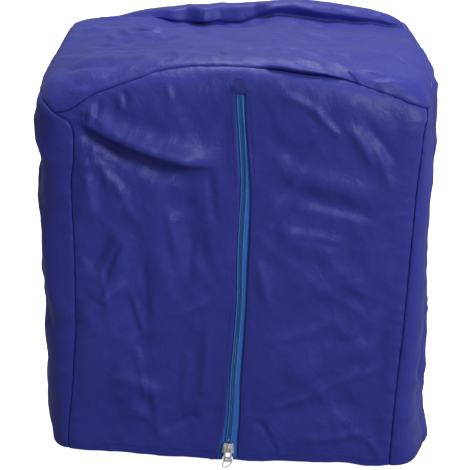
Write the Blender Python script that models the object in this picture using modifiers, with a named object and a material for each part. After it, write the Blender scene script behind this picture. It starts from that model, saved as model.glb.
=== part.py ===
# Cover for a bird cage: five cloth panels sewn into a box, open below, with a zip up the front.
# Metres, +Z up, the front towards -Y. The origin is under the middle of the top panel.
import math
from collections import namedtuple

import bmesh
import bpy
import numpy as np
from mathutils import Matrix

for item in list(bpy.data.objects):
    bpy.data.objects.remove(item, do_unlink=True)

mm = 0.001

# Cloth
cloth = 1.2 * mm
hemCloth = 2.1 * mm
hemHeight = 12 * mm
seamGap = 0.3 * mm
backSeamGap = 0.45 * mm
backAllowance = 3 * mm
seamAllowance = 5 * mm
shoulder = 0.5 * mm
slitHem = 9 * mm
cornerRelief = 14 * mm

# The line where the flat of the roof starts to roll over into the walls, seen from above
roofHalfWidth = 160.5 * mm
roofFront = 93.5 * mm
roofBack = 113.5 * mm
roofCorner = 14 * mm

# Distances along that line from the middle of the front, to the right or (negative) to the left
cornerRun = roofCorner * math.pi / 2
frontEnd = roofHalfWidth - roofCorner
sideStart = frontEnd + cornerRun
sideEnd = sideStart + roofFront + roofBack - 2 * roofCorner
backStart = sideEnd + cornerRun
backMiddle = backStart + frontEnd

# The roof is arched from side to side, more at the front than at the back
frontArch = 30 * mm
backArch = 15 * mm
archPower = 2.2
crestRamp = 13 * mm

# Rows of these tables are millimetres: along or across the cover from its middle, then the value
Row = namedtuple("Row", "at value")

# How far the cloth rolls outwards and downwards from the roof's flat to the wall
rollOutRows = [
    Row(-516, 12), Row(-353, 10), Row(-306, 12), Row(-273, 13), Row(-242, 15), Row(-200, 17), Row(-168, 16),
    Row(-150, 32), Row(150, 30), Row(165, 12), Row(174, 16), Row(186, 20), Row(300, 21), Row(335, 20),
    Row(358, 12), Row(516, 12),
]
rollDownRows = [
    Row(-516, 12), Row(-360, 13), Row(-300, 15), Row(-190, 16), Row(-168, 20), Row(-140, 40), Row(-60, 34),
    Row(0, 30), Row(80, 36), Row(140, 48), Row(168, 22),
    Row(186, 13), Row(300, 12), Row(360, 12), Row(516, 12),
]

# The crest of loose cloth that stands up along the back seam, and the sag in front of it
crestRows = [
    Row(-175, -2), Row(-130, -5), Row(-90, 0), Row(-45, 3), Row(0, 4),
    Row(33, 7), Row(66, 10), Row(117, 8), Row(160, 4), Row(175, 0),
]
sagRows = [
    Row(-175, 0), Row(-110, 2), Row(-80, 6), Row(-45, 12), Row(0, 13),
    Row(20, 9), Row(40, 4), Row(100, 5), Row(160, 3), Row(175, 0),
]

# Seams across the roll: rows along the cover, value is how far past the edge of the roof's flat
frontSeamRows = [
    Row(-150, 40.5), Row(-124, 32.5), Row(-103, 28.5), Row(-82, 24.5),
    Row(-70, 20), Row(-41, 17), Row(-15, 17.5),
    Row(27, 20), Row(58, 22.5), Row(91, 22.5), Row(117, 26.5), Row(147, 29.5), Row(155, 31),
]
leftSeamPastRows = [
    Row(-516, 7), Row(-350, 8), Row(-300, 12), Row(-188, 13), Row(-170, 14.5), Row(-161, 19),
    Row(-157, 25), Row(-153, 33.5), Row(-150, 40.5),
]
rightSeamPastRows = [Row(155, 31), Row(164, 22), Row(182, 14), Row(300, 12), Row(350, 8), Row(516, 7)]

# The hem: rows along the cover, value is its depth below the origin
hemRows = [
    Row(-516, 386), Row(-360, 383), Row(-260, 379), Row(-170, 379), Row(-122, 382.5), Row(-46, 387.5),
    Row(0, 391), Row(60, 392), Row(100, 393), Row(140, 398), Row(175, 395), Row(260, 390), Row(360, 386),
    Row(516, 386),
]

# Upright seams and the zip: rows down the wall, value is how far along the cover
frontLeftSeamRows = [
    Row(40, -150), Row(52, -144.5), Row(64, -141.5), Row(80, -142), Row(111, -145.5), Row(165, -145),
    Row(300, -148), Row(380, -150.5),
]
frontRightSeamRows = [Row(40, 155), Row(64, 152.5), Row(84, 152), Row(126, 151), Row(242, 149.5), Row(395, 148)]
zipRows = [
    Row(-20, 2.5), Row(28, 2.8), Row(58, 4.7), Row(84, 6.3), Row(102, 7.2), Row(122, 6.9), Row(141, 5.9),
    Row(180, 4.6), Row(209, 4.6), Row(240, 3.4), Row(271, 1.3),
    Row(302, -0.8), Row(334, -1.8), Row(390, -5.5),
]
leftEdgeRows = [
    Row(-20, 4), Row(60, 3.9), Row(200, 3.8), Row(270, 4.2),
    Row(340, 5.8), Row(365, 7), Row(380, 9), Row(395, 9.6),
]
rightEdgeRows = [
    Row(-20, 5), Row(60, 5.8), Row(110, 6.5), Row(170, 7.5), Row(220, 6.4), Row(290, 7.4), Row(365, 8.8),
    Row(380, 9.6), Row(395, 10),
]
backSeamAlong = 366 * mm

# How far the walls swell outwards: rows down the wall
frontSwellRows = [Row(0, 0), Row(60, 0), Row(200, 1), Row(400, 0)]
leftSwellRows = [Row(0, 0), Row(60, 0.5), Row(180, 0), Row(250, 5), Row(320, 1.5), Row(400, 0)]
rightSwellRows = [Row(0, 0), Row(60, 2.5), Row(150, 0.5), Row(250, 2), Row(400, 9)]
backSwellRows = [Row(0, 0), Row(60, 1), Row(200, 4), Row(400, 2)]

# Soft folds, each a ridge (or with a negative height a trough) along a bowed line, in millimetres
Fold = namedtuple("Fold", "fromAcross fromDown toAcross toDown width height bow")
wallFolds = [
    # The deep fold at the upper left and the loose cloth that hangs over it
    Fold(-120, 67, -27, 103, 8.5, -6, -8), Fold(-126, 49, -17, 87, 9, 5.5, -8),
    Fold(-104, 30, -44, 56, 16, 3.5, 0),
    # Soft folds that fall from it
    Fold(-130, 66, -134, 150, 8, 3, 0), Fold(-112, 92, -108, 215, 9, 3, 4),
    Fold(-72, 100, -60, 240, 11, 3, -4),
    Fold(-96, 130, -138, 200, 9, -3.5, 0), Fold(-146, 248, -96, 198, 9, 3.5, 0),
    Fold(-94, 205, -84, 285, 9, -3, 0),
    Fold(-50, 110, -24, 200, 9, -3, 0), Fold(-110, 270, -96, 365, 12, 2.5, 3),
    Fold(-40, 250, -52, 370, 12, -2.5, 0),
    # The right panel's shallow slanting folds
    Fold(34, 88, 126, 117, 10, 3.5, -4), Fold(30, 108, 132, 142, 10, -3.5, -3),
    Fold(40, 214, 130, 198, 13, 3, 0),
    Fold(42, 305, 134, 264, 12, 3.5, 3), Fold(28, 340, 134, 326, 14, -3, 0),
    Fold(30, 158, 100, 178, 13, 2.5, 0),
    Fold(24, 60, 60, 92, 10, -2.5, 0), Fold(96, 48, 140, 96, 12, 2.5, 0),
    # Folds down the sides and the back
    Fold(-176, 50, -160, 200, 9, 2, 0), Fold(-158, 205, -178, 330, 9, -3, 0),
    Fold(-196, 70, -214, 190, 10, -3.5, 0),
    Fold(-238, 90, -214, 340, 16, 3.5, 6), Fold(-290, 60, -300, 300, 18, -3, -5),
    Fold(-335, 50, -322, 330, 16, 3, 0),
    Fold(162, 120, 154, 300, 8, 3, 0), Fold(184, 60, 176, 190, 9, -3, 0),
    Fold(172, 210, 186, 350, 10, 3, 0),
    Fold(215, 80, 235, 340, 16, -3.5, 5), Fold(300, 60, 290, 320, 18, 3.5, 6),
    Fold(262, 120, 266, 360, 14, 3, -4),
    Fold(-470, 50, -430, 330, 20, -3.5, 6), Fold(470, 70, 440, 340, 20, -3.5, -6),
    Fold(400, 40, 412, 300, 16, 3.5, 4),
    Fold(-400, 60, -410, 350, 15, 3, 4), Fold(512, 90, 500, 350, 16, 3, 0),
]
roofFolds = [
    # The lip of the top panel that stands over the front panel on the right
    Fold(18, -113, 106, -117, 5, 2.5, 0),
    # Slack cloth in front of the crest and creases that run across the roof
    Fold(-112, 30, -72, -6, 9, 3, 0), Fold(-120, -16, -54, -34, 9, -2.5, 0), Fold(26, 44, 96, -14, 9, 3, 3),
    Fold(-150, -56, -64, -88, 11, 2.5, 0), Fold(56, -74, 148, -36, 12, 2.5, 0),
    Fold(-60, 10, 20, -48, 14, -2.5, 0),
]


# A smooth line through a table's rows that never swings past them
def tableValue(rows, at):
    places = np.array([row.at for row in rows]) * mm
    values = np.array([row.value for row in rows]) * mm
    rises = np.diff(values) / np.diff(places)
    slopes = np.zeros(len(rows))
    sameWay = rises[:-1] * rises[1:] > 0
    between = 2 * rises[:-1] * rises[1:] / np.where(sameWay, rises[:-1] + rises[1:], 1)
    slopes[1:-1] = np.where(sameWay, between, 0)
    at = np.clip(np.asarray(at, float), places[0], places[-1])
    index = np.clip(np.searchsorted(places, at) - 1, 0, len(places) - 2)
    span = places[index + 1] - places[index]
    part = (at - places[index]) / span
    return ((1 + 2 * part) * (1 - part) ** 2 * values[index]
            + part * (1 - part) ** 2 * span * slopes[index]
            + part ** 2 * (3 - 2 * part) * values[index + 1]
            + part ** 2 * (part - 1) * span * slopes[index + 1])


def ease(part):
    part = np.clip(part, 0, 1)
    return part * part * (3 - 2 * part)


# Sums the folds at a place; each fades out over the last quarter at both of its ends
def foldHeight(folds, across, down):
    total = np.zeros(np.shape(across))
    for fold in folds:
        stepAcross = (fold.toAcross - fold.fromAcross) * mm
        stepDown = (fold.toDown - fold.fromDown) * mm
        length = math.hypot(stepAcross, stepDown)
        fromStartAcross = across - fold.fromAcross * mm
        fromStartDown = down - fold.fromDown * mm
        part = np.clip((fromStartAcross * stepAcross + fromStartDown * stepDown) / length ** 2, 0, 1)
        aside = (fromStartAcross * stepDown - fromStartDown * stepAcross) / length
        aside = aside - fold.bow * mm * 4 * part * (1 - part)
        fade = ease(4 * part) * ease(4 * (1 - part))
        total = total + fold.height * mm * np.exp(-(aside / (fold.width * mm)) ** 2) * fade
    return total


# The roof's height over a place seen from above
def roofHeight(across, back):
    toBack = np.clip((back + roofFront) / (roofFront + roofBack), 0, 1)
    arch = backArch + (frontArch - backArch) * (1 - toBack) ** 2
    height = -arch * (np.abs(across) / (178 * mm)) ** archPower
    crest = ease((back - roofBack + 24 * mm) / crestRamp)
    sag = ease((back - 10 * mm) / (55 * mm)) * ease((roofBack - 10 * mm - back) / crestRamp)
    return height + tableValue(crestRows, across) * crest - tableValue(sagRows, across) * sag


# The point of the roof's flat edge at a distance along it, and the outward direction there
def roofEdge(along):
    side = np.where(along < 0, -1.0, 1.0)
    run = np.abs(along)
    frontTurn = np.clip((run - frontEnd) / roofCorner, 0, math.pi / 2)
    backTurn = np.clip((run - sideEnd) / roofCorner, 0, math.pi / 2)
    across = (np.minimum(run, frontEnd) + roofCorner * np.sin(frontTurn)
              - roofCorner * (1 - np.cos(backTurn)) - np.maximum(run - backStart, 0))
    back = (-roofFront + roofCorner * (1 - np.cos(frontTurn))
            + np.clip(run - sideStart, 0, sideEnd - sideStart) + roofCorner * np.sin(backTurn))
    turn = frontTurn + backTurn
    return across * side, back, np.sin(turn) * side, -np.cos(turn)


# How far below the origin the cloth would be at the edge of the roof's flat, had it run straight down
def rollStart(along):
    across, back, outAcross, outBack = roofEdge(along)
    reach = tableValue(rollOutRows, along)
    drop = tableValue(rollDownRows, along)
    return drop - (reach + drop) * math.pi / 4 - roofHeight(across, back)


# A point of the outer face and its outward direction, from the place along the cover and its depth
def wallSurface(along, down):
    along, down = np.broadcast_arrays(np.asarray(along, float), np.asarray(down, float))
    across, back, outAcross, outBack = roofEdge(along)
    reach = tableValue(rollOutRows, along)
    drop = tableValue(rollDownRows, along)
    past = down - rollStart(along)
    turn = np.clip(past / ((reach + drop) / 2), 0, math.pi / 2)
    inset = np.minimum(past, 0)
    nudge = 1 * mm
    edgeHeight = roofHeight(across, back)
    fall = (roofHeight(across - outAcross * nudge, back - outBack * nudge) - edgeHeight) / nudge
    straight = np.maximum(past - (reach + drop) * math.pi / 4, 0)
    front = np.maximum(-outBack, 0) ** 2
    rear = np.maximum(outBack, 0) ** 2
    beside = np.where(along < 0, tableValue(leftSwellRows, down), tableValue(rightSwellRows, down))
    swell = (tableValue(frontSwellRows, down) * front + tableValue(backSwellRows, down) * rear
             + beside * outAcross ** 2) * np.sin(turn)
    outward = reach * np.sin(turn) + inset + swell
    height = edgeHeight - drop * (1 - np.cos(turn)) - fall * reach * np.sin(turn) * np.cos(turn) - straight
    height = np.where(past < 0, roofHeight(across + outAcross * inset, back + outBack * inset), height)
    normal = np.stack([outAcross * np.sin(turn), outBack * np.sin(turn), np.cos(turn)], -1)
    point = np.stack([across + outAcross * outward, back + outBack * outward, height + cloth], -1)
    return point + normal * foldHeight(wallFolds, along, down)[..., None], normal


# The same for the roof, from a place on the cloth seen from above, its rolled edges laid out flat
def roofSurface(across, back):
    coreAcross = roofHalfWidth - roofCorner
    nearAcross = np.clip(across, -coreAcross, coreAcross)
    nearBack = np.clip(back, -roofFront + roofCorner, roofBack - roofCorner)
    awayAcross = across - nearAcross
    awayBack = back - nearBack
    away = np.hypot(awayAcross, awayBack)
    past = away - roofCorner
    angle = np.arctan2(np.abs(awayAcross), -awayBack)
    run = np.where(angle < math.pi / 2, frontEnd + roofCorner * angle,
                   sideEnd + roofCorner * (angle - math.pi / 2))
    run = np.where((awayAcross == 0) & (awayBack < 0), np.abs(across), run)
    run = np.where((awayAcross == 0) & (awayBack > 0), backStart + frontEnd - np.abs(across), run)
    run = np.where((awayAcross != 0) & (awayBack == 0), sideStart + back + roofFront - roofCorner, run)
    along = run * np.where(across < 0, -1.0, 1.0)
    point, normal = wallSurface(along, rollStart(along) + np.maximum(past, 0))
    flat = np.stack([across, back, roofHeight(across, back) + cloth], -1)
    upward = np.zeros_like(flat)
    upward[..., 2] = 1
    inside = (past < 0)[..., None]
    normal = np.where(inside, upward, normal)
    return np.where(inside, flat, point) + normal * foldHeight(roofFolds, across, back)[..., None], normal


# The depth of the top panel's seam at a place along the cover
def topSeam(along):
    past = np.where(along > frontRightSeamRows[0].value * mm, tableValue(rightSeamPastRows, along),
                    tableValue(frontSeamRows, along))
    past = np.where(along < frontLeftSeamRows[0].value * mm, tableValue(leftSeamPastRows, along), past)
    return rollStart(along) + past


def blend(start, end, part):
    return start + (end - start) * part


# The panels

# A station is one line of a panel's grid: its part of the way across, how far it is turned in,
# and whether the cloth is doubled there
Station = namedtuple("Station", "part turnedIn doubled")

coverParts = bpy.data.collections.new("bird_cage_cover")
bpy.context.scene.collection.children.link(coverParts)


def plainMaterial(name, colour, roughness, metallic):
    material = bpy.data.materials.get(name)
    if material is None:
        material = bpy.data.materials.new(name)
        material.use_nodes = True
        shader = material.node_tree.nodes["Principled BSDF"]
        shader.inputs["Base Color"].default_value = (*colour, 1)
        shader.inputs["Roughness"].default_value = roughness
        shader.inputs["Metallic"].default_value = metallic
        material.diffuse_color = (*colour, 1)
    return material


clothMaterial = plainMaterial("cover_cloth", (0.052, 0.057, 0.262), 0.62, 0)
tapeMaterial = plainMaterial("zip_tape", (0.03, 0.09, 0.28), 0.8, 0)
coilMaterial = plainMaterial("zip_coil", (0.04, 0.12, 0.28), 0.45, 0)
metalMaterial = plainMaterial("zip_metal", (0.66, 0.64, 0.66), 0.28, 1)


def fileUnder(piece, name, material):
    piece.name = name
    piece.data.name = name
    for collection in list(piece.users_collection):
        collection.objects.unlink(piece)
    coverParts.objects.link(piece)
    piece.data.materials.clear()
    piece.data.materials.append(material)
    return piece


# Lines of the grid beside a seam, where the cloth turns in, and beside a hem, where it is doubled
def seamStations(length, allowance=seamAllowance):
    return [Station(0, allowance, 0), Station(0, shoulder, 0), Station(2.5 * mm / length, 0, 0)]


def hemStations(height, length):
    return [Station(0, 0, 1), Station(height / length, 0, 1), Station((height + 2 * mm) / length, 0, 0)]


def plainStations(parts):
    return [Station(part, 0, 0) for part in parts]


def turnedRound(stations):
    return [Station(1 - station.part, station.turnedIn, station.doubled) for station in reversed(stations)]


# A flat grid of one panel's lines, with the column and the row of each of its points
def flatGrid(name, columns, rows, material):
    bpy.ops.mesh.primitive_grid_add(x_subdivisions=columns - 1, y_subdivisions=rows - 1, size=1)
    piece = fileUnder(bpy.context.object, name, material)
    flat = np.array([vertex.co for vertex in piece.data.vertices])
    column = np.rint((flat[:, 0] + 0.5) * (columns - 1)).astype(int)
    row = np.rint((0.5 - flat[:, 1]) * (rows - 1)).astype(int)
    return piece, column, row


# Sets the grid's points, drops those not kept and turns the faces outwards
def layGrid(piece, points, outward, keep):
    mesh = piece.data
    mesh.vertices.foreach_set("co", points.ravel())
    grid = bmesh.new()
    grid.from_mesh(mesh)
    grid.verts.ensure_lookup_table()
    bmesh.ops.delete(grid, geom=[grid.verts[index] for index in np.nonzero(~keep)[0]], context="VERTS")
    grid.to_mesh(mesh)
    grid.free()
    kept = outward[keep]
    if sum(np.dot(face.normal, kept[face.vertices[0]]) for face in mesh.polygons) < 0:
        mesh.flip_normals()
    for face in mesh.polygons:
        face.use_smooth = True


# Whether a place lies far enough from both ends of a panel for its edge to turn in there
def clearOfCorners(part, length):
    return (part * length > cornerRelief) & ((1 - part) * length > cornerRelief)


# One cloth panel: place() gives points of its outer face and the outward directions there
def makePanel(name, acrossRow, downRow, acrossLength, downLength, place, slit=None):
    piece, column, row = flatGrid(name, len(acrossRow), len(downRow), clothMaterial)
    across = np.array(acrossRow)[column]
    down = np.array(downRow)[row]
    acrossFlap = across[:, 1] > shoulder
    downFlap = down[:, 1] > shoulder
    points, outward = place(across[:, 0], down[:, 0])
    points = points - outward * np.maximum(across[:, 1], down[:, 1])[:, None]
    keep = ((~downFlap | clearOfCorners(across[:, 0], acrossLength))
            & (~acrossFlap | clearOfCorners(down[:, 0], downLength)))
    layGrid(piece, points, outward, keep)
    if slit:
        cutSlit(piece, column[keep], row[keep], slit)
    doubled = np.maximum(across[:, 2], down[:, 2])[keep]
    thickness = piece.vertex_groups.new(name="thickness")
    for index, amount in enumerate(doubled):
        thickness.add([index], float(blend(cloth / hemCloth, 1, amount)), "REPLACE")
    solid = piece.modifiers.new("thickness", "SOLIDIFY")
    solid.thickness = hemCloth
    solid.offset = -1
    solid.vertex_group = "thickness"
    return piece


# Takes out the faces between two columns from one row down to the hem
def cutSlit(piece, column, row, slit):
    leftColumn, rightColumn, topRow = slit
    grid = bmesh.new()
    grid.from_mesh(piece.data)
    inSlit = []
    for face in grid.faces:
        columns = [column[corner.index] for corner in face.verts]
        rows = [row[corner.index] for corner in face.verts]
        if min(columns) >= leftColumn and max(columns) <= rightColumn and min(rows) >= topRow:
            inSlit.append(face)
    bmesh.ops.delete(grid, geom=inSlit, context="FACES")
    grid.to_mesh(piece.data)
    grid.free()


# How much longer the outer face is than the roof's flat edge, at a place along the cover
def stretch(along):
    step = 0.5 * mm
    before = wallSurface(wrapped(along - step), 200 * mm)[0]
    after = wallSurface(wrapped(along + step), 200 * mm)[0]
    return np.linalg.norm(after - before, axis=-1) / (2 * step)


# The gap that a panel leaves at its top seam, measured down the wall
def topGap(along):
    step = 0.5 * mm
    fall = topSeam(wrapped(along + step)) - topSeam(wrapped(along - step))
    slant = np.sqrt(1 + (fall / (2 * step * stretch(along))) ** 2)
    return np.where(np.abs(wrapped(along)) > backSeamAlong, backSeamGap, seamGap) * slant


# The gap that a panel leaves at an upright seam, measured along the roof's flat edge
def uprightGap(seam, part):
    step = 0.002
    slope = (seam(part + step) - seam(part - step)) / (2 * step * wallLength)
    local = stretch(seam(part))
    return seamGap * np.sqrt(1 + (slope * local) ** 2) / local


def hemDepth(along):
    return tableValue(hemRows, along)


# The place along the cover of an upright line, from the part of the way down the wall
def uprightLine(rows, part):
    return tableValue(rows, blend(rows[0].at, rows[-1].at, part) * mm)


def frontLeftSeam(part):
    return uprightLine(frontLeftSeamRows, part)


def frontRightSeam(part):
    return uprightLine(frontRightSeamRows, part)


def backLeftSeam(part):
    return np.full(np.shape(part), -backSeamAlong)


def backRightSeam(part):
    return np.full(np.shape(part), backSeamAlong)


def pastBackMiddle(part):
    return np.full(np.shape(part), backSeamAlong - 2 * backMiddle)


# Places past the middle of the back are places on its other side
def wrapped(along):
    return (along + backMiddle) % (2 * backMiddle) - backMiddle


# The outer face's length round a side, against the place along the roof's flat edge
sideRuns = np.linspace(frontEnd - 8 * mm, backStart + 8 * mm, 240)
sideSteps = np.linalg.norm(np.diff(wallSurface(sideRuns, 200 * mm)[0], axis=0), axis=1)
sideLengths = np.concatenate([[0], np.cumsum(sideSteps)])


# The place a part of the way round a side from its front seam to its back seam
def roundSide(frontSeam, backSeam, part):
    side = np.sign(backSeam)
    start = np.interp(np.abs(frontSeam), sideRuns, sideLengths)
    end = np.interp(np.abs(backSeam), sideRuns, sideLengths)
    return side * np.interp(blend(start, end, part), sideLengths, sideRuns)


# A wall panel between two upright seams, from the top seam to the hem
def wallPlace(firstSeam, lastSeam, between):
    def place(acrossPart, downPart):
        firstGap = uprightGap(firstSeam, downPart)
        lastGap = uprightGap(lastSeam, downPart)
        turn = np.sign(lastSeam(downPart) - firstSeam(downPart))
        along = between(firstSeam(downPart), lastSeam(downPart), acrossPart, downPart)
        along = along + turn * firstGap * (acrossPart <= 0) - turn * lastGap * (acrossPart >= 1)
        top = topSeam(wrapped(along)) + topGap(along)
        return wallSurface(wrapped(along), blend(top, hemDepth(wrapped(along)), downPart))
    return place


wallLength = 385 * mm
wallParts = [
    0.025, 0.045, 0.065, 0.085, 0.105, 0.125, 0.145, 0.165, 0.185, 0.205, 0.23, 0.265, 0.305, 0.355, 0.41,
    0.47, 0.53, 0.59, 0.65, 0.71, 0.78, 0.85, 0.91,
]


def makeWall(name, acrossRow, acrossLength, place, slit=None):
    downRow = seamStations(wallLength) + plainStations(wallParts) + turnedRound(hemStations(hemHeight, wallLength))
    return makePanel(name, acrossRow, downRow, acrossLength, wallLength, place, slit)


# The front panel is one piece with a slit for the zip, its edges folded under
frontLength = 298 * mm
leftParts = [0.03, 0.065, 0.10, 0.135, 0.17, 0.205, 0.24, 0.28, 0.32, 0.36, 0.40, 0.435]
rightParts = [0.61, 0.67, 0.73, 0.79, 0.85, 0.91, 0.95, 0.97, 0.985]
slitLeftPart = 0.5
slitRightPart = 0.52


def frontBetween(left, right, acrossPart, downPart):
    centre = uprightLine(zipRows, downPart)
    leftEdge = centre - uprightLine(leftEdgeRows, downPart)
    rightEdge = centre + uprightLine(rightEdgeRows, downPart)
    onLeft = blend(left, leftEdge, acrossPart / slitLeftPart)
    onRight = blend(rightEdge, right, (acrossPart - slitRightPart) / (1 - slitRightPart))
    inGap = blend(leftEdge, rightEdge, (acrossPart - slitLeftPart) / (slitRightPart - slitLeftPart))
    return np.where(acrossPart <= slitLeftPart, onLeft, np.where(acrossPart >= slitRightPart, onRight, inGap))


def makeFront():
    half = 0.5
    foldedLeft = [Station(slitLeftPart + (station.part - 1) * half, 0, station.doubled)
                  for station in turnedRound(hemStations(slitHem, frontLength * half))]
    foldedRight = [Station(slitRightPart + station.part * (1 - slitRightPart), 0, station.doubled)
                   for station in hemStations(slitHem, frontLength * half)]
    acrossRow = (seamStations(frontLength) + plainStations(leftParts) + foldedLeft + foldedRight
                 + plainStations(rightParts) + turnedRound(seamStations(frontLength)))
    leftColumn = 3 + len(leftParts) + 2
    topRow = 3 + 2
    place = wallPlace(frontLeftSeam, frontRightSeam, frontBetween)
    return makeWall("front_panel", acrossRow, frontLength, place, (leftColumn, leftColumn + 1, topRow))


# The side panels wrap round both of their corners
sideParts = [0.035, 0.075, 0.115, 0.155, 0.2, 0.25, 0.34, 0.44, 0.54, 0.64, 0.74, 0.83, 0.87, 0.91, 0.95]


def makeSide(name, frontSeam, backSeam):
    acrossRow = seamStations(sideLength) + plainStations(sideParts) + turnedRound(seamStations(sideLength))
    place = wallPlace(frontSeam, backSeam, lambda front, back, part, down: roundSide(front, back, part))
    return makeWall(name, acrossRow, sideLength, place)


sideLength = 290 * mm
backLength = 300 * mm
backParts = [0.06, 0.14, 0.22, 0.30, 0.38, 0.46, 0.54, 0.62, 0.70, 0.78, 0.86, 0.94]


def makeBack():
    acrossRow = seamStations(backLength) + plainStations(backParts) + turnedRound(seamStations(backLength))
    place = wallPlace(backLeftSeam, pastBackMiddle, lambda left, right, part, down: blend(left, right, part))
    return makeWall("back_panel", acrossRow, backLength, place)


# A point of the top panel's edge on the cloth laid flat, from the place along the cover
def topEdge(along):
    across, back, outAcross, outBack = roofEdge(wrapped(along))
    past = topSeam(wrapped(along)) - topGap(along) - rollStart(wrapped(along))
    return np.stack([across + outAcross * past, back + outBack * past], -1)


# The places of the top panel's edge points, all the way round from its front left corner
def topEdgePlaces():
    frontParts = np.array([0] + leftParts + [slitLeftPart, slitRightPart] + rightParts)
    frontPlaces = frontBetween(frontLeftSeam(0), frontRightSeam(0), frontParts, 0 * frontParts)
    sideSteps = np.array([0] + sideParts)
    rightPlaces = roundSide(frontRightSeam(0), backSeamAlong, sideSteps)
    backSteps = np.array([0] + backParts)
    backPlaces = blend(backSeamAlong, 2 * backMiddle - backSeamAlong, backSteps)
    leftSteps = 1 - np.array([0] + [1 - part for part in reversed(sideParts)])
    leftPlaces = roundSide(frontLeftSeam(0), -backSeamAlong, leftSteps)
    return np.concatenate([frontPlaces, rightPlaces, backPlaces, leftPlaces])


# The top panel is made of rings: each is a part of the way from its middle to its edge
topRings = [0.001, 0.2, 0.37, 0.52, 0.65, 0.75, 0.83, 0.895, 0.95]


def makeTop():
    places = topEdgePlaces()
    edge = topEdge(places)
    ringCount = len(topRings) + 3
    piece, column, row = flatGrid("top_panel", len(places) + 1, ringCount, clothMaterial)
    edgePoint = edge[column % len(places)]
    reach = np.linalg.norm(edgePoint, axis=1)
    beside = 1 - 2.5 * mm / reach
    part = np.array(topRings + [0, 1, 1])[row]
    part = np.where(row == len(topRings), beside, part)
    turnedIn = np.array([0] * (len(topRings) + 1) + [shoulder, seamAllowance])[row]
    onBack = np.abs(wrapped(places[column % len(places)])) > sideEnd
    turnedIn = np.where(onBack, np.minimum(turnedIn, backAllowance), turnedIn)
    flat = edgePoint * part[:, None]
    points, outward = roofSurface(flat[:, 0], flat[:, 1])
    layGrid(piece, points - outward * turnedIn[:, None], outward, np.full(len(points), True))
    rings = bmesh.new()
    rings.from_mesh(piece.data)
    bmesh.ops.remove_doubles(rings, verts=rings.verts, dist=0.05 * mm)
    middle = [corner for corner in rings.verts if corner.co.xy.length < 1 * mm]
    bmesh.ops.pointmerge(rings, verts=middle, merge_co=middle[0].co)
    rings.to_mesh(piece.data)
    rings.free()
    solid = piece.modifiers.new("thickness", "SOLIDIFY")
    solid.thickness = cloth
    solid.offset = -1
    return piece


# The zip

# Rows down the wall: how far each row of coil and its tape has parted from the middle, below the slider
partingRows = [Row(-20, 0), Row(366, 0), Row(374, 0.5), Row(382, 2.1), Row(387, 4), Row(392, 5.2)]
zipTop = 27 * mm
tapeTop = 22 * mm
zipParts = [
    0, 0.02, 0.045, 0.07, 0.1, 0.14, 0.18, 0.23, 0.29, 0.36, 0.43, 0.5, 0.57, 0.64, 0.71, 0.78, 0.84, 0.89,
    0.93, 0.955, 0.97, 0.985, 1,
]


# A strip down the zip: rows across it of (distance from the middle, depth of its face under the cloth's)
def makeStrip(name, side, profile, top, bottom, thickness, material):
    piece, column, row = flatGrid(name, len(profile), len(zipParts), material)
    down = blend(top, bottom, np.array(zipParts))[row]
    aside = np.array([place for place, depth in profile])[column]
    depth = np.array([depth for place, depth in profile])[column]
    along = tableValue(zipRows, down) + side * (aside + tableValue(partingRows, down))
    points, outward = wallSurface(along, down)
    layGrid(piece, points - outward * depth[:, None], outward, np.full(len(points), True))
    solid = piece.modifiers.new("thickness", "SOLIDIFY")
    solid.thickness = thickness
    solid.offset = -1
    return piece


tapeFace = hemCloth + 0.5 * mm
tapeThickness = 1 * mm
tapeWidth = 12.5 * mm
coilFace = 0.5 * mm
coilThickness = 1.7 * mm
coilWidth = 2.8 * mm
zipBottom = 387 * mm


def makeTape(name, side):
    profile = [(0.25 * mm, tapeFace), (4 * mm, tapeFace), (tapeWidth, tapeFace)]
    return makeStrip(name, side, profile, tapeTop, zipBottom, tapeThickness, tapeMaterial)


def makeCoil(name, side):
    profile = [(0.25 * mm, coilFace), (coilWidth, coilFace)]
    coil = makeStrip(name, side, profile, zipTop, zipBottom, coilThickness, coilMaterial)
    rounded = coil.modifiers.new("rounded", "BEVEL")
    rounded.width = 0.45 * mm
    rounded.segments = 1
    rounded.limit_method = "ANGLE"
    return coil


# The slider and its pull, on the lower end of the zip. Depths count inwards from the cloth's outer face.
sliderTop = 372 * mm
sliderBottom = 382 * mm
sliderAt = 377 * mm
plateFace = -1 * mm
plateDepth = 0.2 * mm
backPlateFace = tapeFace + tapeThickness + 0.3 * mm
backPlateDepth = backPlateFace + 1 * mm
flangeThickness = 0.7 * mm
bridgeMiddle = 376.4 * mm


# A block that narrows upwards: half its width at the top and at the bottom, its depths and its heights
def makeBlock(halfTop, halfBottom, face, depth, top, bottom, rounding):
    bpy.ops.mesh.primitive_cube_add(size=1)
    block = bpy.context.object
    for corner in block.data.vertices:
        half = halfTop if corner.co.z > 0 else halfBottom
        corner.co = (math.copysign(half, corner.co.x), face if corner.co.y < 0 else depth,
                     -top if corner.co.z > 0 else -bottom)
    rounded = block.modifiers.new("rounded", "BEVEL")
    rounded.width = rounding
    rounded.segments = 2
    rounded.limit_method = "ANGLE"
    return block


def applied(piece):
    evaluated = piece.evaluated_get(bpy.context.evaluated_depsgraph_get())
    piece.data = bpy.data.meshes.new_from_object(evaluated)
    piece.modifiers.clear()
    return piece


# Joins the blocks into the first of them, or cuts them out of it
def combined(piece, others, operation):
    applied(piece)
    for other in others:
        applied(other)
        step = piece.modifiers.new("step", "BOOLEAN")
        step.operation = operation
        step.solver = "EXACT"
        step.object = other
        applied(piece)
        bpy.data.objects.remove(other, do_unlink=True)
    return piece


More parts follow.
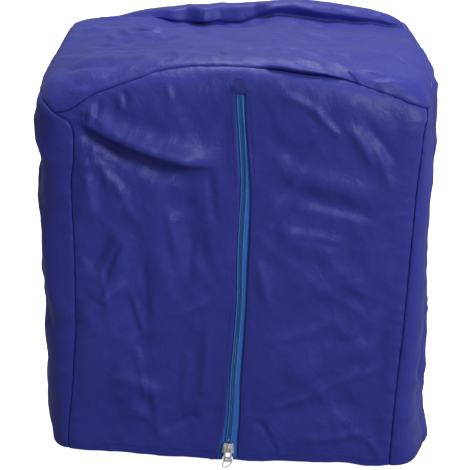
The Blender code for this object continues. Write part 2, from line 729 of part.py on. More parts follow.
# A side flange of the front plate, which keeps the coil under it
def makeFlange(side):
    flange = makeBlock(flangeThickness / 2, flangeThickness / 2, plateDepth - 0.6 * mm, tapeFace - 0.4 * mm,
                       sliderTop + 0.5 * mm, sliderBottom - 0.5 * mm, 0.1 * mm)
    for corner in flange.data.vertices:
        corner.co.x += side * (4.1 * mm if corner.co.z > -sliderAt else 5.4 * mm)
    return flange


# The bridge over the top bar of the pull
def makeBridge():
    path = bpy.data.curves.new("bridge", "CURVE")
    path.dimensions = "3D"
    path.bevel_depth = 0.5 * mm
    path.bevel_resolution = 1
    path.use_fill_caps = True
    line = path.splines.new("POLY")
    turns = [0, 0.15, 0.32, 0.5, 0.68, 0.85, 1]
    line.points.add(len(turns) - 1)
    for point, part in zip(line.points, turns):
        angle = part * math.pi
        rise = 3.3 * mm * math.sin(angle) ** 0.6
        point.co = (0, plateFace + 0.6 * mm - rise, -bridgeMiddle + 3.8 * mm * math.cos(angle), 1)
    bridge = bpy.data.objects.new("bridge", path)
    bpy.context.scene.collection.objects.link(bridge)
    bpy.context.view_layer.update()
    mesh = bpy.data.meshes.new_from_object(bridge.evaluated_get(bpy.context.evaluated_depsgraph_get()))
    bpy.data.objects.remove(bridge, do_unlink=True)
    solid = bpy.data.objects.new("bridge", mesh)
    bpy.context.scene.collection.objects.link(solid)
    for corner in mesh.vertices:
        corner.co.x *= 1.9
    tidy = bmesh.new()
    tidy.from_mesh(mesh)
    bmesh.ops.remove_doubles(tidy, verts=tidy.verts, dist=0.02 * mm)
    tidy.to_mesh(mesh)
    tidy.free()
    return solid


# Turns a piece that was made round the upright line x = 0, y = 0 to lie on the zip
def layOnZip(piece):
    place = wallSurface(tableValue(zipRows, sliderAt), sliderAt)[0]
    lean = tableValue(zipRows, sliderAt + 5 * mm) - tableValue(zipRows, sliderAt - 5 * mm)
    turn = Matrix.Rotation(math.atan2(-float(lean), 10 * mm), 4, "Y")
    toSlider = Matrix.Translation((0, 0, sliderAt))
    piece.data.transform(Matrix.Translation(place) @ turn @ toSlider)
    return piece


def makeSlider():
    frontPlate = makeBlock(4.5 * mm, 5.9 * mm, plateFace, plateDepth, sliderTop, sliderBottom, 0.35 * mm)
    backPlate = makeBlock(4.5 * mm, 5.9 * mm, backPlateFace, backPlateDepth, sliderTop, sliderBottom, 0.3 * mm)
    neck = makeBlock(0.7 * mm, 1.7 * mm, plateDepth - 0.5 * mm, backPlateFace + 0.4 * mm,
                     sliderAt + 1.2 * mm, sliderBottom - 0.4 * mm, 0.1 * mm)
    others = [makeFlange(-1), makeFlange(1), neck, backPlate, makeBridge()]
    slider = combined(frontPlate, others, "UNION")
    return fileUnder(layOnZip(slider), "zip_slider", metalMaterial)


# The pull: a plate with a tapered window, round the bridge, and a slot for the ring
def makePull():
    face = -2.65 * mm
    depth = -1.45 * mm
    cutFace = face - 1 * mm
    cutDepth = depth + 1 * mm
    plateTop, windowTop, windowBottom = 374.3 * mm, 376.6 * mm, 386 * mm
    slotTop, slotBottom, plateBottom = 387.2 * mm, 389.5 * mm, 391 * mm
    plate = makeBlock(3.8 * mm, 4 * mm, face, depth, plateTop, plateBottom, 0.4 * mm)
    window = makeBlock(2.3 * mm, 1.9 * mm, cutFace, cutDepth, windowTop, windowBottom, 0.4 * mm)
    slot = makeBlock(1.9 * mm, 1.9 * mm, cutFace, cutDepth, slotTop, slotBottom, 0.5 * mm)
    pull = combined(plate, [window, slot], "DIFFERENCE")
    return fileUnder(layOnZip(pull), "zip_pull", metalMaterial)


# The ring: an oval of wire through the pull's slot, turned half towards the front
def makeRing():
    wire = 0.5 * mm
    halfWidth = 6.2 * mm
    halfHeight = 4.2 * mm
    ringDepth = -2.05 * mm
    ringTop = 388.35 * mm
    turn = math.radians(42)
    bpy.ops.mesh.primitive_torus_add(major_segments=24, minor_segments=8, major_radius=halfHeight,
                                     minor_radius=wire)
    ring = bpy.context.object
    for corner in ring.data.vertices:
        reach = corner.co.xy.length
        widen = (reach + halfWidth - halfHeight) / reach
        corner.co.x *= blend(1, widen, abs(corner.co.x) / reach)
    place = Matrix.Translation((0, ringDepth, -ringTop - halfHeight))
    upright = Matrix.Rotation(math.pi / 2, 4, "X")
    ring.data.transform(place @ Matrix.Rotation(turn, 4, "Z") @ upright)
    return fileUnder(layOnZip(ring), "pull_ring", metalMaterial)


top = makeTop()
front = makeFront()
sideLeft = makeSide("side_panel_left", frontLeftSeam, backLeftSeam)
sideRight = makeSide("side_panel_right", frontRightSeam, backRightSeam)
back = makeBack()
tapeLeft = makeTape("zip_tape_left", -1)
tapeRight = makeTape("zip_tape_right", 1)
coilLeft = makeCoil("zip_coil_left", -1)
coilRight = makeCoil("zip_coil_right", 1)
slider = makeSlider()
pull = makePull()
ring = makeRing()
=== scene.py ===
# The looks of the bird cage cover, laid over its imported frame. Metres, +Z up, the front towards -Y.
import math
from collections import namedtuple

import bmesh
import bpy
import numpy as np
from mathutils import Matrix, Vector


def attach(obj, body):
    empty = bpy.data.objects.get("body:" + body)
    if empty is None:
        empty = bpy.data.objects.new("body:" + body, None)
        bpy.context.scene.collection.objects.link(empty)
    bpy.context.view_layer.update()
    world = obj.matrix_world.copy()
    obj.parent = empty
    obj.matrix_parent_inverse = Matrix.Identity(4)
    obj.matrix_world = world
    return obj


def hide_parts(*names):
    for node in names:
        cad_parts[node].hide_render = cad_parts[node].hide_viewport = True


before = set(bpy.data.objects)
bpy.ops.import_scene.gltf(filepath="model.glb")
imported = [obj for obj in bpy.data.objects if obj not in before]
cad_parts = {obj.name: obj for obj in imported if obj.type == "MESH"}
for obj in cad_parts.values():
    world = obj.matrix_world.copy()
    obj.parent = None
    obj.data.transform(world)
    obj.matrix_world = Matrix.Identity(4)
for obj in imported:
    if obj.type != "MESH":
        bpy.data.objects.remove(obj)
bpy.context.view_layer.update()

mm = 0.001
cloth = 1.2 * mm

# The line where the flat of the roof starts to roll over into the walls, seen from above
roofHalfWidth = 160.5 * mm
roofFront = 93.5 * mm
roofBack = 113.5 * mm
roofCorner = 14 * mm

# Distances along that line from the middle of the front, to the right or (negative) to the left
cornerRun = roofCorner * math.pi / 2
frontEnd = roofHalfWidth - roofCorner
sideStart = frontEnd + cornerRun
sideEnd = sideStart + roofFront + roofBack - 2 * roofCorner
backStart = sideEnd + cornerRun
backMiddle = backStart + frontEnd

# The roof is arched from side to side, more at the front than at the back
frontArch = 30 * mm
backArch = 15 * mm
archReach = 178 * mm
archPower = 2.2
crestRamp = 8 * mm
crestStart = roofBack - 24 * mm

# Rows of these tables are millimetres: along or across the cover from its middle, then the value
Row = namedtuple("Row", "at value")

# How far the cloth rolls outwards and downwards from the roof's flat to the wall
rollOutRows = [
    Row(-516, 12), Row(-353, 10), Row(-306, 12), Row(-273, 13), Row(-242, 15), Row(-200, 17),
    Row(-168, 16), Row(-150, 32), Row(150, 30), Row(165, 12), Row(174, 16), Row(186, 20), Row(300, 21),
    Row(335, 20), Row(358, 12), Row(516, 12),
]
rollDownRows = [
    Row(-516, 12), Row(-360, 13), Row(-300, 15), Row(-190, 16), Row(-168, 20), Row(-140, 40),
    Row(-60, 34), Row(0, 30), Row(80, 36), Row(140, 48), Row(168, 22), Row(186, 13), Row(300, 12),
    Row(360, 12), Row(516, 12),
]

# The crest of loose cloth that stands up along the back seam, and the sag in front of it
crestRows = [
    Row(-175, -2), Row(-130, -5), Row(-90, 0), Row(-45, 3), Row(0, 4), Row(33, 7), Row(66, 10),
    Row(117, 8), Row(160, 4), Row(175, 0),
]
sagRows = [
    Row(-175, 0), Row(-110, 2), Row(-80, 6), Row(-45, 12), Row(0, 13), Row(20, 9), Row(40, 4),
    Row(100, 5), Row(160, 3), Row(175, 0),
]

# Seams across the roll: rows along the cover, value is how far past the edge of the roof's flat
frontSeamRows = [
    Row(-150, 40.5), Row(-124, 32.5), Row(-103, 28.5), Row(-82, 24.5), Row(-70, 20), Row(-41, 17),
    Row(-15, 17.5), Row(27, 20), Row(58, 22.5), Row(91, 22.5), Row(117, 26.5), Row(147, 29.5),
    Row(155, 31),
]
leftSeamPastRows = [
    Row(-516, 7), Row(-350, 8), Row(-300, 12), Row(-188, 13), Row(-170, 14.5), Row(-161, 19),
    Row(-157, 25), Row(-153, 33.5), Row(-150, 40.5),
]
rightSeamPastRows = [Row(155, 31), Row(164, 22), Row(182, 14), Row(300, 12), Row(350, 8), Row(516, 7)]

# The hem: rows along the cover, value is its depth below the origin
hemRows = [
    Row(-516, 386), Row(-360, 383), Row(-260, 379), Row(-170, 379), Row(-122, 382.5), Row(-46, 387.5),
    Row(0, 391), Row(60, 392), Row(100, 393), Row(140, 397), Row(180, 397), Row(205, 393),
    Row(260, 390), Row(360, 386), Row(516, 386),
]

# Upright seams and the zip: rows down the wall, value is how far along the cover
frontLeftSeamRows = [
    Row(40, -150), Row(52, -144.5), Row(64, -141.5), Row(80, -142), Row(111, -145.5), Row(165, -145),
    Row(300, -148), Row(380, -150.5),
]
frontRightSeamRows = [
    Row(40, 155), Row(64, 152.5), Row(84, 152), Row(126, 151), Row(242, 149.5), Row(395, 148),
]
zipRows = [
    Row(-20, 2.5), Row(28, 2.8), Row(58, 4.7), Row(84, 6.3), Row(102, 7.2), Row(122, 6.9),
    Row(141, 5.9), Row(180, 4.6), Row(209, 4.6), Row(240, 3.4), Row(271, 1.3), Row(302, -0.8),
    Row(334, -1.8), Row(390, -5.5),
]
leftEdgeRows = [
    Row(-20, 4), Row(60, 3.9), Row(200, 3.8), Row(270, 4.2), Row(340, 5.8), Row(365, 7), Row(380, 9),
    Row(395, 9.6),
]
rightEdgeRows = [
    Row(-20, 5), Row(60, 5.8), Row(110, 6.5), Row(170, 7.5), Row(220, 6.4), Row(290, 7.4),
    Row(365, 8.8), Row(380, 9.6), Row(395, 10),
]
backSeamAlong = 366 * mm

# How far the walls swell outwards: rows down the wall
frontSwellRows = [Row(0, 0), Row(60, 0), Row(200, 1), Row(400, 0)]
leftSwellRows = [Row(0, 0), Row(60, 0.5), Row(180, 0), Row(250, 5), Row(320, 1.5), Row(400, 0)]
rightSwellRows = [
    Row(0, 0), Row(60, 2.5), Row(150, 0.5), Row(220, 4), Row(320, 6), Row(360, 9), Row(400, 16),
]
backSwellRows = [Row(0, 0), Row(60, 1), Row(200, 4), Row(400, 2)]

# Soft folds, each a ridge (or with a negative height a trough) along a bowed line, in millimetres
Fold = namedtuple("Fold", "fromAcross fromDown toAcross toDown width height bow")
wallFolds = [
    # The deep fold at the upper left and the loose cloth that hangs over it
    Fold(-120, 67, -27, 103, 8.5, -6, -8), Fold(-126, 49, -17, 87, 9, 5.5, -8),
    Fold(-104, 30, -44, 56, 16, 3.5, 0),
    # Soft folds that fall from it
    Fold(-130, 66, -134, 150, 8, 3, 0), Fold(-112, 92, -108, 215, 9, 3, 4),
    Fold(-72, 100, -60, 240, 11, 3, -4), Fold(-96, 130, -138, 200, 9, -3.5, 0),
    Fold(-146, 248, -96, 198, 9, 3.5, 0), Fold(-94, 205, -84, 285, 9, -3, 0),
    Fold(-50, 110, -24, 200, 9, -3, 0), Fold(-110, 270, -96, 365, 12, 2.5, 3),
    Fold(-40, 250, -52, 370, 12, -2.5, 0),
    # The right panel's shallow slanting folds
    Fold(34, 88, 126, 117, 10, 3.5, -4), Fold(30, 108, 132, 142, 10, -3.5, -3),
    Fold(40, 214, 130, 198, 13, 3, 0), Fold(42, 305, 134, 264, 12, 3.5, 3),
    Fold(28, 340, 134, 326, 14, -3, 0), Fold(30, 158, 100, 178, 13, 2.5, 0),
    Fold(24, 60, 60, 92, 10, -2.5, 0), Fold(96, 48, 140, 96, 12, 2.5, 0),
    # Folds down the sides and the back
    Fold(-176, 50, -160, 200, 9, 2, 0), Fold(-158, 205, -178, 330, 9, -3, 0),
    Fold(-196, 70, -214, 190, 10, -3.5, 0), Fold(-238, 90, -214, 340, 16, 3.5, 6),
    Fold(-290, 60, -300, 300, 18, -3, -5), Fold(-335, 50, -322, 330, 16, 3, 0),
    Fold(162, 120, 154, 300, 8, 3, 0), Fold(184, 60, 176, 190, 9, -3, 0),
    Fold(172, 210, 186, 350, 10, 3, 0), Fold(215, 80, 235, 340, 16, -3.5, 5),
    Fold(300, 60, 290, 320, 18, 3.5, 6), Fold(262, 120, 266, 360, 14, 3, -4),
    Fold(-470, 50, -430, 330, 20, -3.5, 6), Fold(470, 70, 440, 340, 20, -3.5, -6),
    Fold(400, 40, 412, 300, 16, 3.5, 4), Fold(-400, 60, -410, 350, 15, 3, 4),
    Fold(512, 90, 500, 350, 16, 3, 0),
]
roofFolds = [
    # The lip of the top panel that stands over the front panel on the right
    Fold(18, -113, 106, -117, 5, 2.5, 0),
    # Slack cloth in front of the crest and creases that run across the roof
    Fold(-112, 30, -72, -6, 9, 3, 0), Fold(-120, -16, -54, -34, 9, -2.5, 0),
    Fold(26, 44, 96, -14, 9, 3, 3), Fold(-150, -56, -64, -88, 11, 2.5, 0),
    Fold(56, -74, 148, -36, 12, 2.5, 0), Fold(-60, 10, 20, -48, 14, -2.5, 0),
]


# A smooth line through a table's rows that never swings past them
def tableValue(rows, at):
    places = np.array([row.at for row in rows]) * mm
    values = np.array([row.value for row in rows]) * mm
    rises = np.diff(values) / np.diff(places)
    slopes = np.zeros(len(rows))
    sameWay = rises[:-1] * rises[1:] > 0
    between = 2 * rises[:-1] * rises[1:] / np.where(sameWay, rises[:-1] + rises[1:], 1)
    slopes[1:-1] = np.where(sameWay, between, 0)
    at = np.clip(np.asarray(at, float), places[0], places[-1])
    index = np.clip(np.searchsorted(places, at) - 1, 0, len(places) - 2)
    span = places[index + 1] - places[index]
    part = (at - places[index]) / span
    return ((1 + 2 * part) * (1 - part) ** 2 * values[index]
            + part * (1 - part) ** 2 * span * slopes[index]
            + part ** 2 * (3 - 2 * part) * values[index + 1]
            + part ** 2 * (part - 1) * span * slopes[index + 1])


def ease(part):
    part = np.clip(part, 0, 1)
    return part * part * (3 - 2 * part)


# How far places lie beside a bowed line, and how its height fades over the last quarter at both ends
def besideLine(line, across, down):
    stepAcross = (line.toAcross - line.fromAcross) * mm
    stepDown = (line.toDown - line.fromDown) * mm
    length = math.hypot(stepAcross, stepDown)
    fromStartAcross = across - line.fromAcross * mm
    fromStartDown = down - line.fromDown * mm
    part = np.clip((fromStartAcross * stepAcross + fromStartDown * stepDown) / length ** 2, 0, 1)
    aside = (fromStartAcross * stepDown - fromStartDown * stepAcross) / length
    aside = aside - line.bow * mm * 4 * part * (1 - part)
    return aside, ease(4 * part) * ease(4 * (1 - part))


def foldHeight(folds, across, down):
    total = np.zeros(np.shape(across))
    for fold in folds:
        aside, fade = besideLine(fold, across, down)
        total = total + fold.height * mm * np.exp(-(aside / (fold.width * mm)) ** 2) * fade
    return total


# The roof's height over a place seen from above
def roofHeight(across, back):
    toBack = np.clip((back + roofFront) / (roofFront + roofBack), 0, 1)
    arch = backArch + (frontArch - backArch) * (1 - toBack) ** 2
    height = -arch * (np.abs(across) / archReach) ** archPower
    crest = ease((back - crestStart) / crestRamp)
    sag = ease((back - 10 * mm) / (55 * mm)) * ease((roofBack - 10 * mm - back) / crestRamp)
    return height + tableValue(crestRows, across) * crest - tableValue(sagRows, across) * sag


# The point of the roof's flat edge at a distance along it, and the outward direction there
def roofEdge(along):
    side = np.where(along < 0, -1.0, 1.0)
    run = np.abs(along)
    frontTurn = np.clip((run - frontEnd) / roofCorner, 0, math.pi / 2)
    backTurn = np.clip((run - sideEnd) / roofCorner, 0, math.pi / 2)
    across = (np.minimum(run, frontEnd) + roofCorner * np.sin(frontTurn)
              - roofCorner * (1 - np.cos(backTurn)) - np.maximum(run - backStart, 0))
    back = (-roofFront + roofCorner * (1 - np.cos(frontTurn))
            + np.clip(run - sideStart, 0, sideEnd - sideStart) + roofCorner * np.sin(backTurn))
    turn = frontTurn + backTurn
    return across * side, back, np.sin(turn) * side, -np.cos(turn)


# How far below the origin the cloth would be at the edge of the roof's flat, had it run straight down
def rollStart(along):
    across, back, outAcross, outBack = roofEdge(along)
    reach = tableValue(rollOutRows, along)
    drop = tableValue(rollDownRows, along)
    return drop - (reach + drop) * math.pi / 4 - roofHeight(across, back)


# A point of the outer face and its outward direction, from the place along the cover and its depth
def wallSurface(along, down):
    along, down = np.broadcast_arrays(np.asarray(along, float), np.asarray(down, float))
    across, back, outAcross, outBack = roofEdge(along)
    reach = tableValue(rollOutRows, along)
    drop = tableValue(rollDownRows, along)
    past = down - rollStart(along)
    turn = np.clip(past / ((reach + drop) / 2), 0, math.pi / 2)
    inset = np.minimum(past, 0)
    nudge = 1 * mm
    edgeHeight = roofHeight(across, back)
    fall = (roofHeight(across - outAcross * nudge, back - outBack * nudge) - edgeHeight) / nudge
    straight = np.maximum(past - (reach + drop) * math.pi / 4, 0)
    front = np.maximum(-outBack, 0) ** 2
    rear = np.maximum(outBack, 0) ** 2
    beside = np.where(along < 0, tableValue(leftSwellRows, down), tableValue(rightSwellRows, down))
    swell = (tableValue(frontSwellRows, down) * front + tableValue(backSwellRows, down) * rear
             + beside * outAcross ** 2) * np.sin(turn)
    outward = reach * np.sin(turn) + inset + swell
    height = edgeHeight - drop * (1 - np.cos(turn)) - fall * reach * np.sin(turn) * np.cos(turn) - straight
    height = np.where(past < 0, roofHeight(across + outAcross * inset, back + outBack * inset), height)
    normal = np.stack([outAcross * np.sin(turn), outBack * np.sin(turn), np.cos(turn)], -1)
    point = np.stack([across + outAcross * outward, back + outBack * outward, height + cloth], -1)
    return point + normal * foldHeight(wallFolds, along, down)[..., None], normal


# The same for the roof, from a place on the cloth seen from above, its rolled edges laid out flat
def roofSurface(across, back):
    coreAcross = roofHalfWidth - roofCorner
    nearAcross = np.clip(across, -coreAcross, coreAcross)
    nearBack = np.clip(back, -roofFront + roofCorner, roofBack - roofCorner)
    awayAcross = across - nearAcross
    awayBack = back - nearBack
    away = np.hypot(awayAcross, awayBack)
    past = away - roofCorner
    angle = np.arctan2(np.abs(awayAcross), -awayBack)
    run = np.where(angle < math.pi / 2, frontEnd + roofCorner * angle,
                   sideEnd + roofCorner * (angle - math.pi / 2))
    run = np.where((awayAcross == 0) & (awayBack < 0), np.abs(across), run)
    run = np.where((awayAcross == 0) & (awayBack > 0), backStart + frontEnd - np.abs(across), run)
    run = np.where((awayAcross != 0) & (awayBack == 0), sideStart + back + roofFront - roofCorner, run)
    along = run * np.where(across < 0, -1.0, 1.0)
    point, normal = wallSurface(along, rollStart(along) + np.maximum(past, 0))
    flat = np.stack([across, back, roofHeight(across, back) + cloth], -1)
    upward = np.zeros_like(flat)
    upward[..., 2] = 1
    inside = (past < 0)[..., None]
    normal = np.where(inside, upward, normal)
    return np.where(inside, flat, point) + normal * foldHeight(roofFolds, across, back)[..., None], normal


# The depth of the top panel's seam at a place along the cover
def topSeam(along):
    past = np.where(along > frontRightSeamRows[0].value * mm, tableValue(rightSeamPastRows, along),
                    tableValue(frontSeamRows, along))
    past = np.where(along < frontLeftSeamRows[0].value * mm, tableValue(leftSeamPastRows, along), past)
    return rollStart(along) + past


def blend(start, end, part):
    return start + (end - start) * part


# Fine creases on top of the main folds. A drape is soft above its line and tight below it.
Drape = namedtuple("Drape", "fromAcross fromDown toAcross toDown above below height bow")
wallDrapes = [
    Drape(-149, 43, -12, 93, 16, 2.8, 8.5, -8), Drape(-140, 60, -96, 84, 9, 3.4, -4, 0),
    Drape(-150, 250, -94, 200, 9, 2.2, 1.6, 3), Drape(20, 212, 140, 186, 12, 4, 1.2, 3),
]
wallCreases = [
    # Pleats under the top seam, and the crease out of the left corner
    Fold(-124, 36, -127, 56, 2.2, 1.3, 0), Fold(-118, 33, -120, 50, 2, -1, 0),
    Fold(-97, 26, -93, 38, 2, -1.1, 0), Fold(-101, 27, -99, 44, 2.4, 1, 0),
    Fold(-148, 46, -112, 58, 1.8, -1.2, 3), Fold(-60, 18, -56, 34, 2.2, 0.8, 0),
    # Puckers beside the left seam
    Fold(-146, 74, -132, 70, 2, 1.2, 0), Fold(-146, 84, -128, 92, 2.2, 1, 0),
    Fold(-146, 98, -130, 112, 2.4, -1, 2), Fold(-126, 72, -122, 96, 1.8, 1.1, 0),
    Fold(-122, 84, -112, 112, 2.4, 1.1, 2), Fold(-116, 96, -96, 128, 3, 0.9, 3),
    Fold(-134, 96, -126, 142, 3.4, 1, 2), Fold(-106, 100, -84, 150, 3.6, 0.8, -3),
    # Long soft lines of the left half
    Fold(-100, 160, -120, 214, 2.4, -1.2, -3), Fold(-122, 190, -116, 230, 2.6, 0.9, 2),
    Fold(-146, 172, -132, 190, 2.2, 1, 0), Fold(-146, 210, -118, 226, 2.4, -0.8, 0),
    Fold(-96, 204, -82, 262, 2.4, 1.2, 0), Fold(-92, 262, -82, 330, 2.2, 0.8, 0),
    Fold(-84, 176, -78, 250, 4, -1, 0), Fold(-60, 130, -52, 180, 4, 0.9, 0),
    Fold(-38, 150, -44, 208, 4, -0.8, 0), Fold(-66, 236, -20, 216, 4, 0.7, -4),
    Fold(-42, 262, -48, 340, 4.6, 0.9, 0), Fold(-24, 92, -18, 150, 3.4, -0.8, 0),
    Fold(-78, 300, -70, 372, 3.6, 0.8, 0), Fold(-24, 240, -30, 330, 3.4, 0.7, 0),
    Fold(-30, 340, -70, 360, 5, -0.9, 0), Fold(-120, 300, -60, 322, 8, 0.9, 4),
    # Under the seam at the right, and the slanting lines below it
    Fold(36, 26, 76, 46, 3.4, 1.2, 2), Fold(66, 40, 92, 66, 2.8, 1.3, 0),
    Fold(92, 50, 122, 96, 4.6, 1.2, 3), Fold(108, 46, 142, 92, 5, -1.2, 0),
    Fold(120, 66, 138, 116, 4, 1, 0), Fold(40, 84, 70, 70, 4, -0.7, 0),
    Fold(22, 142, 60, 100, 4, 0.9, 0), Fold(30, 150, 56, 122, 3, -0.8, 0),
    Fold(34, 152, 104, 166, 4.2, 0.9, 3), Fold(18, 170, 32, 232, 4, 0.8, 0),
    Fold(42, 128, 130, 150, 4.4, 0.8, 3), Fold(24, 268, 90, 240, 5, 0.8, 0),
    Fold(70, 322, 140, 288, 4.2, 1, 4), Fold(30, 336, 76, 318, 4, 0.9, 0),
    Fold(96, 262, 140, 226, 4.4, 0.9, 0), Fold(22, 346, 44, 386, 2.4, -1.3, 2),
    Fold(30, 352, 50, 390, 3, 1, 0), Fold(20, 350, 12, 384, 3.4, 0.7, 0),
    Fold(60, 366, 136, 354, 4.4, 0.9, -4), Fold(128, 366, 144, 392, 3, 1.1, 0),
    Fold(110, 300, 144, 246, 5, -0.9, 0),
    # Left side
    Fold(-164, 44, -152, 96, 2.6, 1.4, 0), Fold(-172, 40, -158, 130, 4, -1.3, 2),
    Fold(-168, 96, -158, 152, 2.6, 1.2, 0), Fold(-156, 130, -153, 240, 3, 1.2, 0),
    Fold(-176, 150, -160, 214, 3, 1.2, 0), Fold(-160, 205, -154, 262, 2.4, -1.2, 0),
    Fold(-180, 250, -160, 330, 3, 1.3, 0), Fold(-170, 300, -158, 372, 3.4, 1, 0),
    Fold(-200, 120, -176, 180, 5, 1.2, 0), Fold(-216, 50, -186, 150, 5, -1.4, 4),
    Fold(-250, 60, -236, 180, 6, 1.4, 3), Fold(-276, 130, -246, 260, 6, -1.3, 0),
    Fold(-228, 210, -206, 300, 5, 1.3, 0), Fold(-300, 50, -276, 150, 5, 1.3, 0),
    Fold(-330, 70, -316, 240, 6, -1.3, 4), Fold(-262, 280, -238, 366, 5, 1.2, 0),
    Fold(-320, 250, -296, 360, 6, 1.2, 0), Fold(-346, 40, -340, 150, 4, 1.2, 0),
    # Right side, with its lozenges
    Fold(160, 60, 156, 160, 2.8, 1.3, 0), Fold(158, 196, 168, 262, 2.8, 1.4, 0),
    Fold(168, 230, 156, 300, 2.6, 1.4, 0), Fold(162, 268, 168, 330, 2.6, -1.4, 0),
    Fold(154, 306, 172, 344, 2.4, 1.3, 0), Fold(166, 336, 160, 380, 3.4, 1, 0),
    Fold(180, 90, 168, 200, 4, -1.4, -3), Fold(196, 60, 188, 190, 5, 1.4, 3),
    Fold(210, 150, 184, 260, 5, -1.3, 0), Fold(186, 260, 214, 350, 5, 1.3, 0),
    Fold(232, 60, 246, 220, 6, 1.3, -4), Fold(262, 90, 236, 240, 5, -1.3, 0),
    Fold(276, 60, 292, 200, 5, 1.3, 0), Fold(252, 250, 282, 366, 6, 1.3, 0),
    Fold(310, 90, 322, 260, 6, -1.3, 4), Fold(338, 50, 330, 180, 4, 1.2, 0),
    Fold(300, 240, 330, 360, 6, 1.2, 0),
    # Back
    Fold(396, 40, 420, 190, 6, 1.4, 5), Fold(440, 60, 430, 240, 7, -1.3, 0),
    Fold(480, 40, 462, 170, 6, 1.4, 0), Fold(420, 220, 452, 350, 6, 1.3, 0),
    Fold(500, 60, 506, 230, 7, -1.2, 4), Fold(470, 240, 488, 366, 6, 1.2, 0),
    Fold(-396, 40, -412, 180, 6, 1.3, -5), Fold(-436, 60, -424, 240, 7, -1.3, 0),
    Fold(-474, 50, -486, 210, 6, 1.4, 0), Fold(-410, 240, -444, 360, 6, 1.2, 0),
    Fold(-506, 90, -498, 250, 7, 1.2, -4), Fold(-470, 250, -456, 366, 6, -1.2, 0),
]
roofDrapes = [
    # The rolled lip on the right of the seam and the crest's foot
    Drape(8, -108, 112, -119, 9, 1.6, 2.6, 2), Drape(-150, -112, -118, -126, 9, 2, 1.2, 0),
]
roofCreases = [
    Fold(108, -119, 96, -104, 1.8, 1.8, 0), Fold(118, -116, 142, -106, 2.6, 1.6, 2),
    Fold(128, -118, 150, -113, 2.2, -1.2, 0), Fold(100, -100, 148, -96, 3.4, 1.1, 3),
    Fold(124, -92, 160, -110, 4, -0.9, 0), Fold(-112, 28, -98, -4, 2.4, 1.6, 2),
    Fold(-106, 34, -90, 26, 2.4, -1.5, 0), Fold(-98, 24, -66, 4, 2.4, 1.6, 3),
    Fold(-100, 10, -60, -6, 2.6, -1.4, 3), Fold(-124, 16, -112, -12, 2.6, 1.4, 0),
    Fold(-86, -14, -44, -22, 2.2, 1.1, 0), Fold(-96, -30, -58, -44, 2.4, 1, 0),
    Fold(-134, -20, -92, -34, 4, -1, 0), Fold(-60, -56, -50, -96, 2.6, 0.7, 0),
    Fold(40, 68, 62, 44, 2.2, 1.7, 0), Fold(52, 70, 84, 34, 2.4, -1.6, 2),
    Fold(62, 74, 104, 44, 2.4, 1.5, 0), Fold(76, 56, 110, 58, 2.6, -1.2, 0),
    Fold(86, -10, 146, 20, 3.2, 1.2, -3), Fold(10, -30, 90, -36, 3, 0.6, 0),
    Fold(-30, -60, 120, -66, 2.4, 0.6, 0), Fold(-150, -40, -70, -66, 4, 0.9, 4),
    Fold(-160, -74, -96, -96, 4.4, -1, 0), Fold(-152, 30, -128, 70, 5, 1.1, 0),
    Fold(28, -62, 40, -40, 2, 0.9, 0), Fold(36, -20, 46, -34, 2, -0.9, 0),
    Fold(-20, -70, 34, -66, 5, -0.7, 0), Fold(112, 70, 156, 30, 5, 1.2, 0),
    Fold(130, -20, 160, -60, 5, -1, 0), Fold(-150, 96, -96, 78, 4, 1.4, 0),
    Fold(-60, 70, -30, 30, 5, -1.2, 0), Fold(-10, 66, 26, 58, 4, 1.3, 0),
]

# Crossing sets of faint creases: the direction of the lines, how far apart they are and how high, in mm
Crumple = namedtuple("Crumple", "turn pitch height")
crumples = [
    Crumple(12, 34, 0.7), Crumple(74, 27, 0.7), Crumple(128, 41, 0.9),
    Crumple(158, 19, 0.35), Crumple(48, 15, 0.3),
]


# Smooth bumps of about one unit across, the same on each run
def noiseAt(across, down, seed):
    size = 64
    table = np.random.RandomState(seed).uniform(-1, 1, (size, size))
    left = np.floor(across).astype(int)
    top = np.floor(down).astype(int)
    partAcross = ease(across - left)
    partDown = ease(down - top)

    def rowAt(line):
        return (table[left % size, line % size] * (1 - partAcross)
                + table[(left + 1) % size, line % size] * partAcross)

    return rowAt(top) * (1 - partDown) + rowAt(top + 1) * partDown


# Broad bumps with the crossing creases on them, each creased in patches only
def crumpled(across, down, seed):
    total = 1.1 * mm * noiseAt(across / (46 * mm), down / (58 * mm), seed)
    for index, row in enumerate(crumples):
        turn = math.radians(row.turn)
        line = (across * math.cos(turn) + down * math.sin(turn)) / (row.pitch * mm)
        first = seed + 7 * index
        bend = (noiseAt(across / (64 * mm), down / (64 * mm), first + 1)
                + 0.3 * noiseAt(across / (21 * mm), down / (21 * mm), first + 2))
        wave = np.abs((line + 0.8 * bend) % 1 * 2 - 1)
        mask = np.clip(0.35 + 1.5 * noiseAt(across / (48 * mm), down / (48 * mm), first + 3), 0, 1)
        total = total + row.height * mm * (wave ** 1.4 - 0.4) * mask
    return total


# Height of a cloth that hangs over a line: soft above it and tight below it
def drapeHeight(drapes, across, down):
    total = np.zeros(np.shape(across))
    for drape in drapes:
        aside, fade = besideLine(drape, across, down)
        width = np.where(aside > 0, drape.above, drape.below) * mm
        total = total + drape.height * mm * np.exp(-(aside / width) ** 2) * fade
    return total


# The panels

Station = namedtuple("Station", "part turnedIn doubled")

clothSizes = {
    "mesh": 2.4 * mm, "thickness": 0.8 * mm, "hemThickness": 1.7 * mm, "hemHeight": 11 * mm,
    "seamGap": 0.02 * mm, "allowance": 4.5 * mm, "slitHem": 8 * mm, "slitTop": 25 * mm,
    "wallLength": 385 * mm, "sideLength": 290 * mm, "frontLength": 298 * mm, "backLength": 300 * mm,
    "calmWidth": 14 * mm, "ridgeFull": 2.5 * mm, "crumple": 1.5, "creases": 2.2, "roofCreases": 1.2,
}


def hemDepth(along):
    return tableValue(hemRows, along) + 0.9 * mm * noiseAt(along / (21 * mm), 0 * along, 5)


